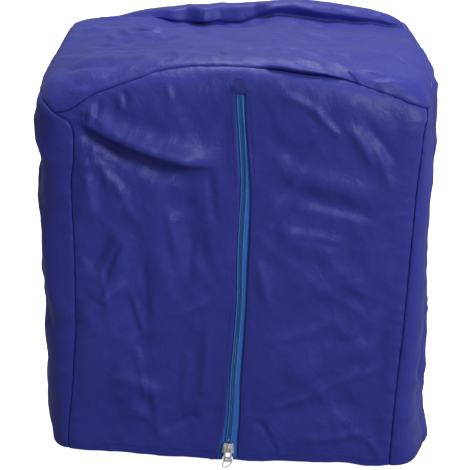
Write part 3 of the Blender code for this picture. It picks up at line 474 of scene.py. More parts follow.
def uprightLine(rows, part):
    return tableValue(rows, blend(rows[0].at, rows[-1].at, part) * mm)


def frontLeftSeam(part):
    return uprightLine(frontLeftSeamRows, part)


def frontRightSeam(part):
    return uprightLine(frontRightSeamRows, part)


def backLeftSeam(part):
    return np.full(np.shape(part), -backSeamAlong)


def backRightSeam(part):
    return np.full(np.shape(part), backSeamAlong)


def pastBackMiddle(part):
    return np.full(np.shape(part), backSeamAlong - 2 * backMiddle)


# Places past the middle of the back are places on its other side
def wrapped(along):
    return (along + backMiddle) % (2 * backMiddle) - backMiddle


sideRuns = np.linspace(frontEnd - 8 * mm, backStart + 8 * mm, 240)
sideSteps = np.linalg.norm(np.diff(wallSurface(sideRuns, 200 * mm)[0], axis=0), axis=1)
sideLengths = np.concatenate([[0], np.cumsum(sideSteps)])


def roundSide(frontSeam, backSeam, part):
    side = np.sign(backSeam)
    start = np.interp(np.abs(frontSeam), sideRuns, sideLengths)
    end = np.interp(np.abs(backSeam), sideRuns, sideLengths)
    return side * np.interp(blend(start, end, part), sideLengths, sideRuns)


# The front cloth's place along the cover: left of the slit, in it, or right of it
slitLeftPart = 0.5
slitRightPart = 0.52


def frontBetween(left, right, acrossPart, downPart):
    centre = uprightLine(zipRows, downPart)
    leftEdge = centre - uprightLine(leftEdgeRows, downPart)
    rightEdge = centre + uprightLine(rightEdgeRows, downPart)
    onLeft = blend(left, leftEdge, acrossPart / slitLeftPart)
    onRight = blend(rightEdge, right, (acrossPart - slitRightPart) / (1 - slitRightPart))
    inGap = blend(leftEdge, rightEdge, (acrossPart - slitLeftPart) / (slitRightPart - slitLeftPart))
    onCloth = np.where(acrossPart >= slitRightPart, onRight, inGap)
    return np.where(acrossPart <= slitLeftPart, onLeft, onCloth)


# The cloth rounds inwards to its seam and is drawn together by the stitches there
def seamRelief(distance, run, seed):
    draw = np.exp(-distance / (5 * mm))
    return (-0.9 * mm * np.exp(-(distance / (2.2 * mm)))
            + draw * 0.5 * mm * noiseAt(run / (4.6 * mm), distance / (26 * mm), seed))


# Lines of the grid beside a seam, where the cloth rounds over and turns in
def seamStations(length):
    sizes = clothSizes
    return [Station(0, sizes["allowance"], 0), Station(0, 1.5 * mm, 0),
            Station(0.15 * mm / length, 0.75 * mm, 0), Station(0.6 * mm / length, 0.3 * mm, 0),
            Station(1.3 * mm / length, 0.08 * mm, 0)]


# The folded edge of a hem or of the slit
def hemStations(height, length):
    return [Station(0, 0.5 * mm, 1), Station(0.3 * mm / length, 0.12 * mm, 1),
            Station(1.1 * mm / length, 0, 1), Station(height / length, 0, 1),
            Station((height + 1.2 * mm) / length, 0, 0)]


def plainStations(start, end, length):
    count = max(2, round((end - start) * length / clothSizes["mesh"]))
    return [Station(part, 0, 0) for part in np.linspace(start, end, count)]


def turnedRound(stations):
    return [Station(1 - station.part, station.turnedIn, station.doubled) for station in reversed(stations)]


# A row of stations across a panel that has a seam at each end
def seamToSeam(length):
    start = clothSizes["mesh"] / length
    edge = seamStations(length)
    return edge + plainStations(start, 1 - start, length) + turnedRound(edge)


def flatGrid(name, columns, rows):
    bpy.ops.object.select_all(action="DESELECT")
    bpy.ops.mesh.primitive_grid_add(x_subdivisions=columns - 1, y_subdivisions=rows - 1, size=1)
    piece = bpy.context.object
    piece.name = name
    piece.data.name = name
    flat = np.array([vertex.co for vertex in piece.data.vertices])
    column = np.rint((flat[:, 0] + 0.5) * (columns - 1)).astype(int)
    row = np.rint((0.5 - flat[:, 1]) * (rows - 1)).astype(int)
    return piece, column, row


# Stores the cloth's own lengths as its UV map, in metres, for the weave
def clothMap(piece, across, down):
    layer = piece.data.uv_layers.active or piece.data.uv_layers.new(name="UVMap")
    corners = np.array([loop.vertex_index for loop in piece.data.loops])
    layer.data.foreach_set("uv", np.stack([across[corners], down[corners]], -1).ravel())


# Keeps how high each crease stands; the cloth material paints a highlight on the crests from it
def setRidges(piece, ridge):
    attribute = piece.data.attributes.new("ridge", "FLOAT", "POINT")
    attribute.data.foreach_set("value", ridge)


# Sets the grid's points, removes what is cut away and gives the cloth its thickness
def sewCloth(piece, points, outward, across, down, ridge, doubled, keep, cutFaces):
    piece.data.vertices.foreach_set("co", points.ravel())
    clothMap(piece, across, down)
    setRidges(piece, ridge)
    thick = clothSizes["thickness"] / clothSizes["hemThickness"]
    group = piece.vertex_groups.new(name="thickness")
    for level in np.unique(doubled):
        corners = [int(index) for index in np.nonzero(doubled == level)[0]]
        group.add(corners, float(blend(thick, 1, level)), "REPLACE")
    grid = bmesh.new()
    grid.from_mesh(piece.data)
    grid.verts.ensure_lookup_table()
    grid.faces.ensure_lookup_table()
    bmesh.ops.delete(grid, geom=[face for face in grid.faces if cutFaces(face)], context="FACES")
    bmesh.ops.delete(grid, geom=[grid.verts[index] for index in np.nonzero(~keep)[0]], context="VERTS")
    grid.to_mesh(piece.data)
    grid.free()
    middle = len(piece.data.polygons) // 2
    nearest = int(np.argmin(np.linalg.norm(points - np.array(piece.data.polygons[middle].center), axis=1)))
    if np.dot(piece.data.polygons[middle].normal, outward[nearest]) < 0:
        piece.data.flip_normals()
    thicken(piece, clothSizes["hemThickness"], "thickness")


# Smooths the sheet and gives it its thickness, inwards from the outer face
def thicken(piece, thickness, group=""):
    for face in piece.data.polygons:
        face.use_smooth = True
    solid = piece.modifiers.new("thickness", "SOLIDIFY")
    solid.thickness = thickness
    solid.offset = -1
    solid.vertex_group = group
    bpy.ops.object.select_all(action="DESELECT")
    bpy.context.view_layer.objects.active = piece
    piece.select_set(True)
    for modifier in list(piece.modifiers):
        bpy.ops.object.modifier_apply(modifier=modifier.name)


# One wall panel between two upright seams, from the top seam to the hem
def makeWall(name, acrossRow, acrossLength, firstSeam, lastSeam, between, seed, slit=False):
    sizes = clothSizes
    length = sizes["wallLength"]
    hem = turnedRound(hemStations(sizes["hemHeight"], length))
    start = clothSizes["mesh"] / length
    downRow = seamStations(length) + plainStations(start, hem[0].part - 1.5 * mm / length, length) + hem
    piece, column, row = flatGrid(name, len(acrossRow), len(downRow))
    acrossPart, acrossIn, acrossDoubled = np.array(acrossRow)[column].T
    downPart, downIn, downDoubled = np.array(downRow)[row].T
    gap = sizes["seamGap"]
    turn = np.sign(lastSeam(downPart) - firstSeam(downPart))
    along = between(firstSeam(downPart), lastSeam(downPart), acrossPart, downPart)
    along = along + turn * gap * (acrossPart <= 0) - turn * gap * (acrossPart >= 1)
    top = topSeam(wrapped(along)) + gap
    depth = blend(top, hemDepth(wrapped(along)), downPart)
    points, outward = wallSurface(wrapped(along), depth)
    fromSeam = np.minimum(acrossPart, 1 - acrossPart) * acrossLength
    fromTop = downPart * length
    toHem = (1 - downPart) * length
    away = np.minimum(fromSeam, fromTop)
    calm = ease(away / sizes["calmWidth"]) * blend(0.35, 1, ease(toHem / (40 * mm)))
    fine = (sizes["creases"] * foldHeight(wallCreases, wrapped(along), depth)
            + drapeHeight(wallDrapes, wrapped(along), depth)
            + sizes["crumple"] * crumpled(wrapped(along), depth, seed))
    if slit:
        plain = (depth < sizes["slitTop"]) & (acrossPart > 0.2) & (acrossPart < 0.8)
        acrossIn = np.where(plain, 0, acrossIn)
    relief = (fine * calm + seamRelief(fromSeam, depth, seed + 60) + seamRelief(fromTop, along, seed + 61)
              + (0.5 * mm * np.exp(-toHem / (16 * mm))
                 * noiseAt(along / (7 * mm), toHem / (30 * mm), seed + 62)))
    if slit:
        toSlit = np.where(acrossPart <= slitLeftPart, slitLeftPart - acrossPart, acrossPart - slitRightPart)
        toSlit = np.abs(toSlit) * acrossLength
        inWindow = depth > sizes["slitTop"] - 6 * mm
        taut = blend(0.25, 1, ease(toSlit / (11 * mm)))
        relief = np.where(inWindow & (toSlit < 11 * mm), relief * taut, relief)
    points = points + outward * (relief - np.maximum(acrossIn, downIn))[:, None]
    acrossFlap = acrossIn > 2 * mm
    downFlap = downIn > 2 * mm
    cutAway = (acrossFlap & (downFlap | (fromTop < 14 * mm))) | (downFlap & (fromSeam < 14 * mm))
    leftColumn = max(index for index, station in enumerate(acrossRow) if station.part <= slitLeftPart)

    def inSlit(face):
        columns = [column[corner.index] for corner in face.verts]
        if not slit or min(columns) != leftColumn or max(columns) != leftColumn + 1:
            return False
        return min(depth[corner.index] for corner in face.verts) > sizes["slitTop"]

    ridge = np.clip(fine * calm / sizes["ridgeFull"], -1, 1)
    doubled = np.maximum(acrossDoubled, downDoubled)
    if slit:
        doubled = np.where((depth < sizes["slitTop"]) & (toHem > 20 * mm), 0, doubled)
    sewCloth(piece, points, outward, along, depth, ridge, doubled, ~cutAway, inSlit)
    return piece


def makeFront():
    sizes = clothSizes
    length = sizes["frontLength"]
    start = clothSizes["mesh"] / length
    leftEdge = [Station(slitLeftPart + station.part - 1, station.turnedIn, station.doubled)
                for station in turnedRound(hemStations(sizes["slitHem"], length))]
    rightEdge = [Station(slitRightPart + station.part, station.turnedIn, station.doubled)
                 for station in hemStations(sizes["slitHem"], length)]
    acrossRow = (seamStations(length) + plainStations(start, leftEdge[0].part - start, length) + leftEdge
                 + rightEdge + plainStations(rightEdge[-1].part + start, 1 - start, length)
                 + turnedRound(seamStations(length)))
    return makeWall("frontCloth", acrossRow, length, frontLeftSeam, frontRightSeam, frontBetween, 11,
                    slit=True)


def makeSide(name, frontSeam, backSeam, seed):
    length = clothSizes["sideLength"]
    return makeWall(name, seamToSeam(length), length, frontSeam, backSeam,
                    lambda front, back, part, down: roundSide(front, back, part), seed)


def makeBack():
    length = clothSizes["backLength"]
    return makeWall("backCloth", seamToSeam(length), length, backLeftSeam, pastBackMiddle,
                    lambda left, right, part, down: blend(left, right, part), 31)


# The roof's edge on the cloth laid flat, all the way round from its front left corner
def roofEdgePlaces():
    step = clothSizes["mesh"]
    front = np.linspace(float(frontLeftSeam(0)), float(frontRightSeam(0)), round(310 * mm / step))
    sideCount = round(250 * mm / step)
    right = roundSide(frontRightSeam(0), backSeamAlong, np.linspace(0, 1, sideCount))
    back = np.linspace(backSeamAlong, 2 * backMiddle - backSeamAlong, round(300 * mm / step))
    left = roundSide(frontLeftSeam(0), -backSeamAlong, np.linspace(1, 0, sideCount))
    return np.concatenate([front[:-1], right[:-1], back[:-1], left[:-1]])


# How far the crest leans forward over the hollow in front of it
def crestLean(across, back):
    rise = np.maximum(tableValue(crestRows, across) + tableValue(sagRows, across), 0)
    uneven = 1 + 0.45 * noiseAt(across / (17 * mm), 0 * across, 91)
    risen = ease((back - crestStart) / crestRamp)
    return 0.85 * rise * uneven * risen * (1 - ease((back - roofBack + 10 * mm) / (20 * mm)))


def makeRoof():
    sizes = clothSizes
    places = roofEdgePlaces()
    across, back, outAcross, outBack = roofEdge(wrapped(places))
    past = topSeam(wrapped(places)) - sizes["seamGap"] - rollStart(wrapped(places))
    edge = np.stack([across + outAcross * past, back + outBack * past], -1)
    ringParts = np.concatenate([[0.004], np.linspace(0.02, 0.985, 66)])
    ringCount = len(ringParts) + 5
    piece, column, row = flatGrid("roofCloth", len(places) + 1, ringCount)
    edgePoint = edge[column % len(places)]
    reach = np.linalg.norm(edgePoint, axis=1)
    fromEdge = np.array([0] * len(ringParts) + [1.3, 0.6, 0.15, 0, 0])[row] * mm
    part = np.where(row < len(ringParts), np.append(ringParts, [1] * 5)[row], 1 - fromEdge / reach)
    turnedIn = np.array([0] * len(ringParts) + [0.08, 0.3, 0.75, 1.5, 4.5])[row] * mm
    flat = edgePoint * part[:, None]
    points, outward = roofSurface(flat[:, 0], flat[:, 1])
    points[:, 1] -= crestLean(flat[:, 0], flat[:, 1])
    fromSeam = reach * (1 - part)
    run = places[column % len(places)]
    fine = (sizes["roofCreases"] * foldHeight(roofCreases, flat[:, 0], flat[:, 1])
            + drapeHeight(roofDrapes, flat[:, 0], flat[:, 1])
            + sizes["crumple"] * crumpled(flat[:, 0], flat[:, 1], 71))
    lip = (ease((flat[:, 0] - 4 * mm) / (20 * mm)) * ease((116 * mm - flat[:, 0]) / (12 * mm))
           * (flat[:, 1] < -90 * mm))
    calm = np.maximum(ease(fromSeam / sizes["calmWidth"]), lip)
    relief = fine * calm + seamRelief(fromSeam, run, 66) * (1 - 0.8 * lip)
    points = points + outward * (relief - turnedIn)[:, None]
    ridge = np.clip(fine * calm / sizes["ridgeFull"], -1, 1)
    piece.data.vertices.foreach_set("co", points.ravel())
    clothMap(piece, flat[:, 0], flat[:, 1])
    setRidges(piece, ridge)
    rings = bmesh.new()
    rings.from_mesh(piece.data)
    rings.verts.ensure_lookup_table()
    first = [corner for corner, at in zip(rings.verts, row) if at == 0]
    middle = sum((corner.co for corner in first), Vector()) / len(first)
    bmesh.ops.pointmerge(rings, verts=first, merge_co=middle)
    bmesh.ops.remove_doubles(rings, verts=rings.verts, dist=0.01 * mm)
    bmesh.ops.recalc_face_normals(rings, faces=rings.faces)
    rings.to_mesh(piece.data)
    rings.free()
    highest = max(piece.data.polygons, key=lambda face: face.area)
    if highest.normal.z < 0:
        piece.data.flip_normals()
    thicken(piece, sizes["thickness"])
    return piece


print("laying the cloth panels")
roofCloth = makeRoof()
frontCloth = makeFront()
sideClothLeft = makeSide("sideClothLeft", frontLeftSeam, backLeftSeam, 43)
sideClothRight = makeSide("sideClothRight", frontRightSeam, backRightSeam, 57)
backCloth = makeBack()


# Materials

def newMaterial(name, roughness, metallic=0.0):
    material = bpy.data.materials.new(name)
    material.use_nodes = True
    shader = material.node_tree.nodes["Principled BSDF"]
    shader.inputs["Roughness"].default_value = roughness
    shader.inputs["Metallic"].default_value = metallic
    return material, material.node_tree.nodes, material.node_tree.links, shader


def addNode(nodes, kind, **settings):
    node = nodes.new(kind)
    for key, value in settings.items():
        if key in node.inputs:
            node.inputs[key].default_value = value
        else:
            setattr(node, key, value)
    return node


# The output of a mix of two colours, of which the first may be an output too
def mixColours(nodes, links, first, second, factor):
    shade = addNode(nodes, "ShaderNodeMix", data_type="RGBA")
    if isinstance(first, tuple):
        shade.inputs["A"].default_value = first
    else:
        links.new(first, shade.inputs["A"])
    shade.inputs["B"].default_value = second
    links.new(factor, shade.inputs["Factor"])
    return shade.outputs["Result"]


def stretched(nodes, links, value, **limits):
    spread = nodes.new("ShaderNodeMapRange")
    for name, limit in limits.items():
        spread.inputs[name[:-3].capitalize() + " " + name[-3:]].default_value = limit
    links.new(value, spread.inputs["Value"])
    return spread.outputs["Result"]


# Adds a bump over an earlier one
def bumped(nodes, links, height, strength, distance, normal=None):
    bump = addNode(nodes, "ShaderNodeBump", Strength=strength, Distance=distance)
    links.new(height, bump.inputs["Height"])
    if normal:
        links.new(normal, bump.inputs["Normal"])
    return bump.outputs["Normal"]


# The lighter second blue is a painted highlight for the crests of the creases
clothLook = {
    "colour": (0.030, 0.037, 0.31, 1), "ridgeHighlight": (0.055, 0.066, 0.42, 1), "deep": (0.023, 0.028, 0.255, 1),
    "roughness": 0.5, "gloss": 0.34, "sheen": 0.05, "sheenRoughness": 0.4,
    "threads": 2100, "weaveDepth": 0.04, "creaseDepth": 0.4, "crushDepth": 0.25,
    "speckAt": (-0.0125, -0.0835, 0), "speckTurn": -1.0, "speckSize": (0.0055, 0.0014, 0.05),
    "speckColour": (0.002, 0.002, 0.01, 1),
}


# Plain weave: two crossing sets of threads on the cloth's own lengths, as a height
def weaveGroup():
    group = bpy.data.node_groups.new("plainWeave", "ShaderNodeTree")
    group.interface.new_socket("Threads", in_out="INPUT", socket_type="NodeSocketFloat")
    group.interface.new_socket("Height", in_out="OUTPUT", socket_type="NodeSocketFloat")
    nodes, links = group.nodes, group.links
    start = nodes.new("NodeGroupInput")
    end = nodes.new("NodeGroupOutput")
    place = nodes.new("ShaderNodeUVMap")
    split = nodes.new("ShaderNodeSeparateXYZ")
    links.new(place.outputs["UV"], split.inputs["Vector"])
    waves = []
    for axis in ("X", "Y"):
        scaled = addNode(nodes, "ShaderNodeMath", operation="MULTIPLY")
        links.new(split.outputs[axis], scaled.inputs[0])
        links.new(start.outputs["Threads"], scaled.inputs[1])
        wave = addNode(nodes, "ShaderNodeMath", operation="SINE")
        links.new(scaled.outputs[0], wave.inputs[0])
        waves.append(wave)
    both = addNode(nodes, "ShaderNodeMath", operation="MULTIPLY")
    links.new(waves[0].outputs[0], both.inputs[0])
    links.new(waves[1].outputs[0], both.inputs[1])
    links.new(both.outputs[0], end.inputs["Height"])
    return group


plainWeave = weaveGroup()


# A small near-black speck painted on the roof: one inside a flat ellipse round its place, nothing outside
def darkSpeckMask(nodes, links, place):
    look = clothLook
    nick = addNode(nodes, "ShaderNodeMapping", vector_type="TEXTURE")
    nick.inputs["Location"].default_value = look["speckAt"]
    nick.inputs["Rotation"].default_value = (0, 0, look["speckTurn"])
    nick.inputs["Scale"].default_value = look["speckSize"]
    links.new(place, nick.inputs["Vector"])
    speckFalloff = addNode(nodes, "ShaderNodeTexGradient", gradient_type="SPHERICAL")
    links.new(nick.outputs["Vector"], speckFalloff.inputs["Vector"])
    insideSpeck = addNode(nodes, "ShaderNodeMath", operation="GREATER_THAN")
    insideSpeck.inputs[1].default_value = 0.05
    links.new(speckFalloff.outputs["Fac"], insideSpeck.inputs[0])
    return insideSpeck.outputs["Value"]


# Crisp crossing creases in patches, bent by a fine noise, as a height
def crushHeight(nodes, links, place, crush):
    patches = addNode(nodes, "ShaderNodeTexNoise", Scale=16.0, Detail=2.0)
    links.new(place, patches.inputs["Vector"])
    where = stretched(nodes, links, patches.outputs["Fac"], fromMin=0.45, fromMax=0.7)
    edges = addNode(nodes, "ShaderNodeTexVoronoi", feature="DISTANCE_TO_EDGE", Scale=34.0)
    bent = addNode(nodes, "ShaderNodeMix", data_type="RGBA")
    bent.inputs["Factor"].default_value = 0.03
    links.new(place, bent.inputs["A"])
    links.new(crush.outputs["Color"], bent.inputs["B"])
    links.new(bent.outputs["Result"], edges.inputs["Vector"])
    lines = addNode(nodes, "ShaderNodeMath", operation="MULTIPLY")
    links.new(edges.outputs["Distance"], lines.inputs[0])
    links.new(where, lines.inputs[1])
    return lines.outputs["Value"]


def makeClothMaterial():
    look = clothLook
    material, nodes, links, shader = newMaterial("coverPolyester", look["roughness"])
    shader.inputs["Specular IOR Level"].default_value = look["gloss"]
    shader.inputs["Sheen Weight"].default_value = look["sheen"]
    shader.inputs["Sheen Roughness"].default_value = look["sheenRoughness"]
    place = nodes.new("ShaderNodeTexCoord").outputs["Object"]
    blotches = addNode(nodes, "ShaderNodeTexNoise", Scale=9.0, Detail=3.0, Roughness=0.55)
    links.new(place, blotches.inputs["Vector"])
    shade = mixColours(nodes, links, look["deep"], look["colour"], blotches.outputs["Fac"])
    # The crests of the creases are painted lighter: a painted highlight where they stand up
    ridge = addNode(nodes, "ShaderNodeAttribute", attribute_name="ridge")
    ridgeHighlight = stretched(nodes, links, ridge.outputs["Fac"], fromMin=0.15, fromMax=1.0, toMax=0.2)
    ridgeLit = mixColours(nodes, links, shade, look["ridgeHighlight"], ridgeHighlight)
    # Paints the small near-black speck on the roof
    specked = mixColours(nodes, links, ridgeLit, look["speckColour"], darkSpeckMask(nodes, links, place))
    links.new(specked, shader.inputs["Base Color"])
    gloss = stretched(nodes, links, blotches.outputs["Fac"],
                      toMin=look["roughness"] - 0.06, toMax=look["roughness"] + 0.08)
    links.new(gloss, shader.inputs["Roughness"])
    crush = addNode(nodes, "ShaderNodeTexNoise", Scale=70.0, Detail=4.0, Roughness=0.6, Distortion=0.6)
    links.new(place, crush.inputs["Vector"])
    creased = bumped(nodes, links, crush.outputs["Fac"], look["creaseDepth"], 0.003)
    lines = crushHeight(nodes, links, place, crush)
    crushed = bumped(nodes, links, lines, look["crushDepth"], 0.004, creased)
    weave = addNode(nodes, "ShaderNodeGroup")
    weave.node_tree = plainWeave
    weave.inputs["Threads"].default_value = look["threads"] * math.tau
    woven = bumped(nodes, links, weave.outputs["Height"], look["weaveDepth"], 0.0003, crushed)
    links.new(woven, shader.inputs["Normal"])
    return material


def dress(piece, material):
    piece.data.materials.clear()
    piece.data.materials.append(material)
    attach(piece, "root")


print("finishing the cloth")
coverPolyester = makeClothMaterial()
for piece in (roofCloth, frontCloth, sideClothLeft, sideClothRight, backCloth):
    dress(piece, coverPolyester)
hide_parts("top_panel")
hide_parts("front_panel")
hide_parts("side_panel_left")
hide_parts("side_panel_right")
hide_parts("back_panel")


# The zip: tapes, coils and stitching

partingRows = [Row(-20, 0), Row(366, 0), Row(374, 0.5), Row(382, 2.1), Row(387, 4), Row(392, 5.2)]
zipSizes = {
    "tapeTop": 22 * mm, "coilTop": 27 * mm, "bottom": 387 * mm, "tapeBottom": 391.5 * mm,
    "tapeFace": 2.5 * mm, "tapeThickness": 0.8 * mm, "tapeWidth": 12.5 * mm,
    "toothPitch": 1.35 * mm, "toothLength": 2.3 * mm, "toothWidth": 0.85 * mm, "toothHeight": 1.1 * mm,
    "toothFace": 0.75 * mm, "railAside": 2.25 * mm, "railWidth": 0.8 * mm, "railThickness": 1.2 * mm,
}


# The place of a point of the zip: distance aside from the middle, depth under the cloth's face, depth down
def onZip(side, aside, under, down):
    along = tableValue(zipRows, down) + side * (aside + tableValue(partingRows, down))
    points, outward = wallSurface(along, down)
    return points - outward * np.asarray(under)[..., None], outward


def makeStrip(name, side, profile, top, bottom, thickness):
    rows = round((bottom - top) / (3 * mm))
    piece, column, row = flatGrid(name, len(profile), rows)
    down = blend(top, bottom, row / (rows - 1))
    aside = np.array([place for place, depth in profile])[column]
    under = np.array([depth for place, depth in profile])[column]
    points, outward = onZip(side, aside, under, down)
    piece.data.vertices.foreach_set("co", points.ravel())
    clothMap(piece, aside, down)
    if np.dot(piece.data.polygons[0].normal, outward[0]) < 0:
        piece.data.flip_normals()
    thicken(piece, thickness)
    return piece


def makeTape(name, side):
    sizes = zipSizes
    face = sizes["tapeFace"]
    profile = [(0.1 * mm, face), (2.4 * mm, face), (3.2 * mm, face - 0.25 * mm), (4.2 * mm, face),
               (sizes["tapeWidth"], face)]
    return makeStrip(name, side, profile, sizes["tapeTop"], sizes["tapeBottom"], sizes["tapeThickness"])


# A short rounded bar, modelled once for the turns of a coil or for stitches
def makeBead(length, width, height):
    bpy.ops.object.select_all(action="DESELECT")
    bpy.ops.mesh.primitive_uv_sphere_add(segments=6, ring_count=4, radius=1)
    bead = bpy.context.object
    bpy.ops.object.mode_set(mode="EDIT")
    bpy.ops.mesh.select_all(action="SELECT")
    bpy.ops.transform.resize(value=(length / 2, width / 2, height / 2))
    bpy.ops.object.mode_set(mode="OBJECT")
    return bead


# Lays copies of a bead at the places given, each turned to its own directions, as one mesh
def layBeads(name, bead, places, alongDirections, outwardDirections):
    source = np.array([vertex.co for vertex in bead.data.vertices])
    faces = [tuple(face.vertices) for face in bead.data.polygons]
    bpy.data.objects.remove(bead, do_unlink=True)
    aside = np.cross(outwardDirections, alongDirections)
    aside = aside / np.linalg.norm(aside, axis=1)[:, None]
    straight = np.cross(aside, outwardDirections)
    frames = np.stack([straight, aside, outwardDirections], 1)
    points = (np.einsum("vk,nkc->nvc", source, frames) + places[:, None, :]).reshape(-1, 3)
    count = len(source)
    mesh = bpy.data.meshes.new(name)
    mesh.from_pydata(points.tolist(), [], [tuple(corner + count * index for corner in face)
                                           for index in range(len(places)) for face in faces])
    for face in mesh.polygons:
        face.use_smooth = True
    mesh.update()
    piece = bpy.data.objects.new(name, mesh)
    bpy.context.scene.collection.objects.link(piece)
    return piece


def makeCoil(name, side):
    sizes = zipSizes
    pitch = sizes["toothPitch"]
    down = np.arange(sizes["coilTop"], sizes["bottom"], pitch) + (0.5 * pitch if side > 0 else 0)
    half = sizes["toothLength"] / 2
    under = sizes["toothFace"] + 0.5 * mm
    places, outward = onZip(side, half - 0.35 * mm, under, down)
    ahead, _ = onZip(side, half + 0.65 * mm, under, down)
    bead = makeBead(sizes["toothLength"], sizes["toothWidth"], sizes["toothHeight"])
    return layBeads(name, bead, places, ahead - places, outward)


# The cord of stitches that holds a row of coil to its tape
def makeRail(name, side):
    sizes = zipSizes
    face = sizes["toothFace"]
    aside = sizes["railAside"]
    half = sizes["railWidth"] / 2
    profile = [(aside - half, face + 0.45 * mm), (aside - 0.6 * half, face + 0.1 * mm),
               (aside, face - 0.05 * mm), (aside + 0.6 * half, face + 0.1 * mm),
               (aside + half, face + 0.45 * mm)]
    return makeStrip(name, side, profile, sizes["coilTop"], sizes["bottom"], sizes["railThickness"])


stitchSizes = {"pitch": 3.0 * mm, "length": 2.3 * mm, "width": 0.5 * mm, "height": 0.36 * mm}


# A row of stitches along a line of places on the wall
def makeStitches(name, along, down, lift):
    sizes = stitchSizes
    points, outward = wallSurface(wrapped(along), down)
    steps = np.linalg.norm(np.diff(points, axis=0), axis=1)
    run = np.concatenate([[0], np.cumsum(steps)])
    at = np.arange(sizes["pitch"] / 2, run[-1], sizes["pitch"])

    def lineAt(values, where):
        return np.stack([np.interp(where, run, values[:, axis]) for axis in range(3)], -1)

    places = lineAt(points, at)
    normals = lineAt(outward, at)
    normals = normals / np.linalg.norm(normals, axis=1)[:, None]
    directions = lineAt(points, at + 0.4 * mm) - places
    bead = makeBead(sizes["length"], sizes["width"], sizes["height"])
    return layBeads(name, bead, places + normals * lift, directions, normals)


# A line of stitches down one side of the slit, at a distance from the folded edge
def stitchesDownSlit(name, side, aside):
    down = np.linspace(26 * mm, 380 * mm, 240)
    edge = tableValue(leftEdgeRows if side < 0 else rightEdgeRows, down)
    return makeStitches(name, tableValue(zipRows, down) + side * (edge + aside), down, 0.1 * mm)


def stitchesAlongHem(name, start, end, above):
    along = np.linspace(start, end, 400)
    return makeStitches(name, along, hemDepth(wrapped(along)) - above, 0.05 * mm)


# The dense block of stitches that closes the top end of the zip
def makeBartack(name):
    centre = float(tableValue(zipRows, 20 * mm))
    rows = []
    for line in range(7):
        down = (13.5 + 1.9 * line) * mm
        half = (2.5 + 1.15 * line) * mm
        rows.append((np.arange(centre - half, centre + half, 1.7 * mm) + 0.5 * mm * (line % 2), down))
    along = np.concatenate([line for line, down in rows])
    down = np.concatenate([np.full(len(line), depth) for line, depth in rows])
    places, outward = wallSurface(along, down)
    ahead, _ = wallSurface(along + 0.6 * mm, down + 0.15 * mm)
    bead = makeBead(1.9 * mm, 0.55 * mm, 0.4 * mm)
    return layBeads(name, bead, places + outward * 0.15 * mm, ahead - places, outward)


print("making the zip and the stitching")
tapeLeft = makeTape("tapeLeft", -1)
tapeRight = makeTape("tapeRight", 1)
coilLeft = makeCoil("coilLeft", -1)
coilRight = makeCoil("coilRight", 1)
railLeft = makeRail("railLeft", -1)
railRight = makeRail("railRight", 1)
slitStitches = [
    stitchesDownSlit("slitStitchesLeft", -1, 3.6 * mm),
    stitchesDownSlit("slitStitchesRight", 1, 3.2 * mm),
]
hemStitches = [
    stitchesAlongHem("hemStitchesFrontLeft", -149 * mm, -17 * mm, 8.6 * mm),
    stitchesAlongHem("hemStitchesFrontRight", 8 * mm, 147 * mm, 6.4 * mm),
    stitchesAlongHem("hemStitchesLeft", -backSeamAlong + 2 * mm, -153 * mm, 8.6 * mm),
    stitchesAlongHem("hemStitchesRight", 151 * mm, backSeamAlong - 2 * mm, 6.8 * mm),
    stitchesAlongHem("hemStitchesBack", backSeamAlong + 2 * mm, 2 * backMiddle - backSeamAlong - 2 * mm,
                     7.6 * mm),
]
bartack = makeBartack("bartack")

threadLook = {"colour": (0.016, 0.013, 0.12, 1), "slitColour": (0.07, 0.035, 0.24, 1), "roughness": 0.6}


def makeThread(name, colour):
    material, nodes, links, shader = newMaterial(name, threadLook["roughness"])
    place = nodes.new("ShaderNodeTexCoord")
    fuzz = addNode(nodes, "ShaderNodeTexNoise", Scale=900.0, Detail=2.0)
    links.new(place.outputs["Object"], fuzz.inputs["Vector"])
    darker = tuple(0.6 * part for part in colour[:3]) + (1,)
    shade = mixColours(nodes, links, colour, darker, fuzz.outputs["Fac"])
    links.new(shade, shader.inputs["Base Color"])
    links.new(bumped(nodes, links, fuzz.outputs["Fac"], 0.3, 0.0002), shader.inputs["Normal"])
    return material


# The darker second blue is painted shade for the hollows of the weave
tapeLook = {
    "colour": (0.033, 0.16, 0.62, 1), "shade": (0.018, 0.09, 0.40, 1), "roughness": 0.6, "threads": 1200,
}


def makeTapeMaterial():
    look = tapeLook
    material, nodes, links, shader = newMaterial("zipTapeWeave", look["roughness"])
    weave = addNode(nodes, "ShaderNodeGroup")
    weave.node_tree = plainWeave
    weave.inputs["Threads"].default_value = look["threads"] * math.tau
    # The tape is painted darker where its weave dips: painted shade between the threads
    level = stretched(nodes, links, weave.outputs["Height"], fromMin=-1, toMin=0.55)
    shade = mixColours(nodes, links, look["shade"], look["colour"], level)
    links.new(shade, shader.inputs["Base Color"])
    links.new(bumped(nodes, links, weave.outputs["Height"], 0.25, 0.0003), shader.inputs["Normal"])
    return material


coilLook = {
    "colour": (0.008, 0.075, 0.27, 1), "bright": (0.03, 0.17, 0.50, 1), "rail": (0.14, 0.40, 0.92, 1),
}


def makeNylon(name, colour, bright, roughness):
    material, nodes, links, shader = newMaterial(name, roughness)
    place = nodes.new("ShaderNodeTexCoord")
    mottle = addNode(nodes, "ShaderNodeTexNoise", Scale=240.0, Detail=2.0)
    links.new(place.outputs["Object"], mottle.inputs["Vector"])
    shade = mixColours(nodes, links, colour, bright, mottle.outputs["Fac"])
    links.new(shade, shader.inputs["Base Color"])
    links.new(bumped(nodes, links, mottle.outputs["Fac"], 0.2, 0.0002), shader.inputs["Normal"])
    return material


metalLook = {
    "plating": (0.86, 0.82, 0.81, 1), "tarnish": (0.42, 0.31, 0.26, 1), "roughness": 0.34, "metallic": 0.45,
}
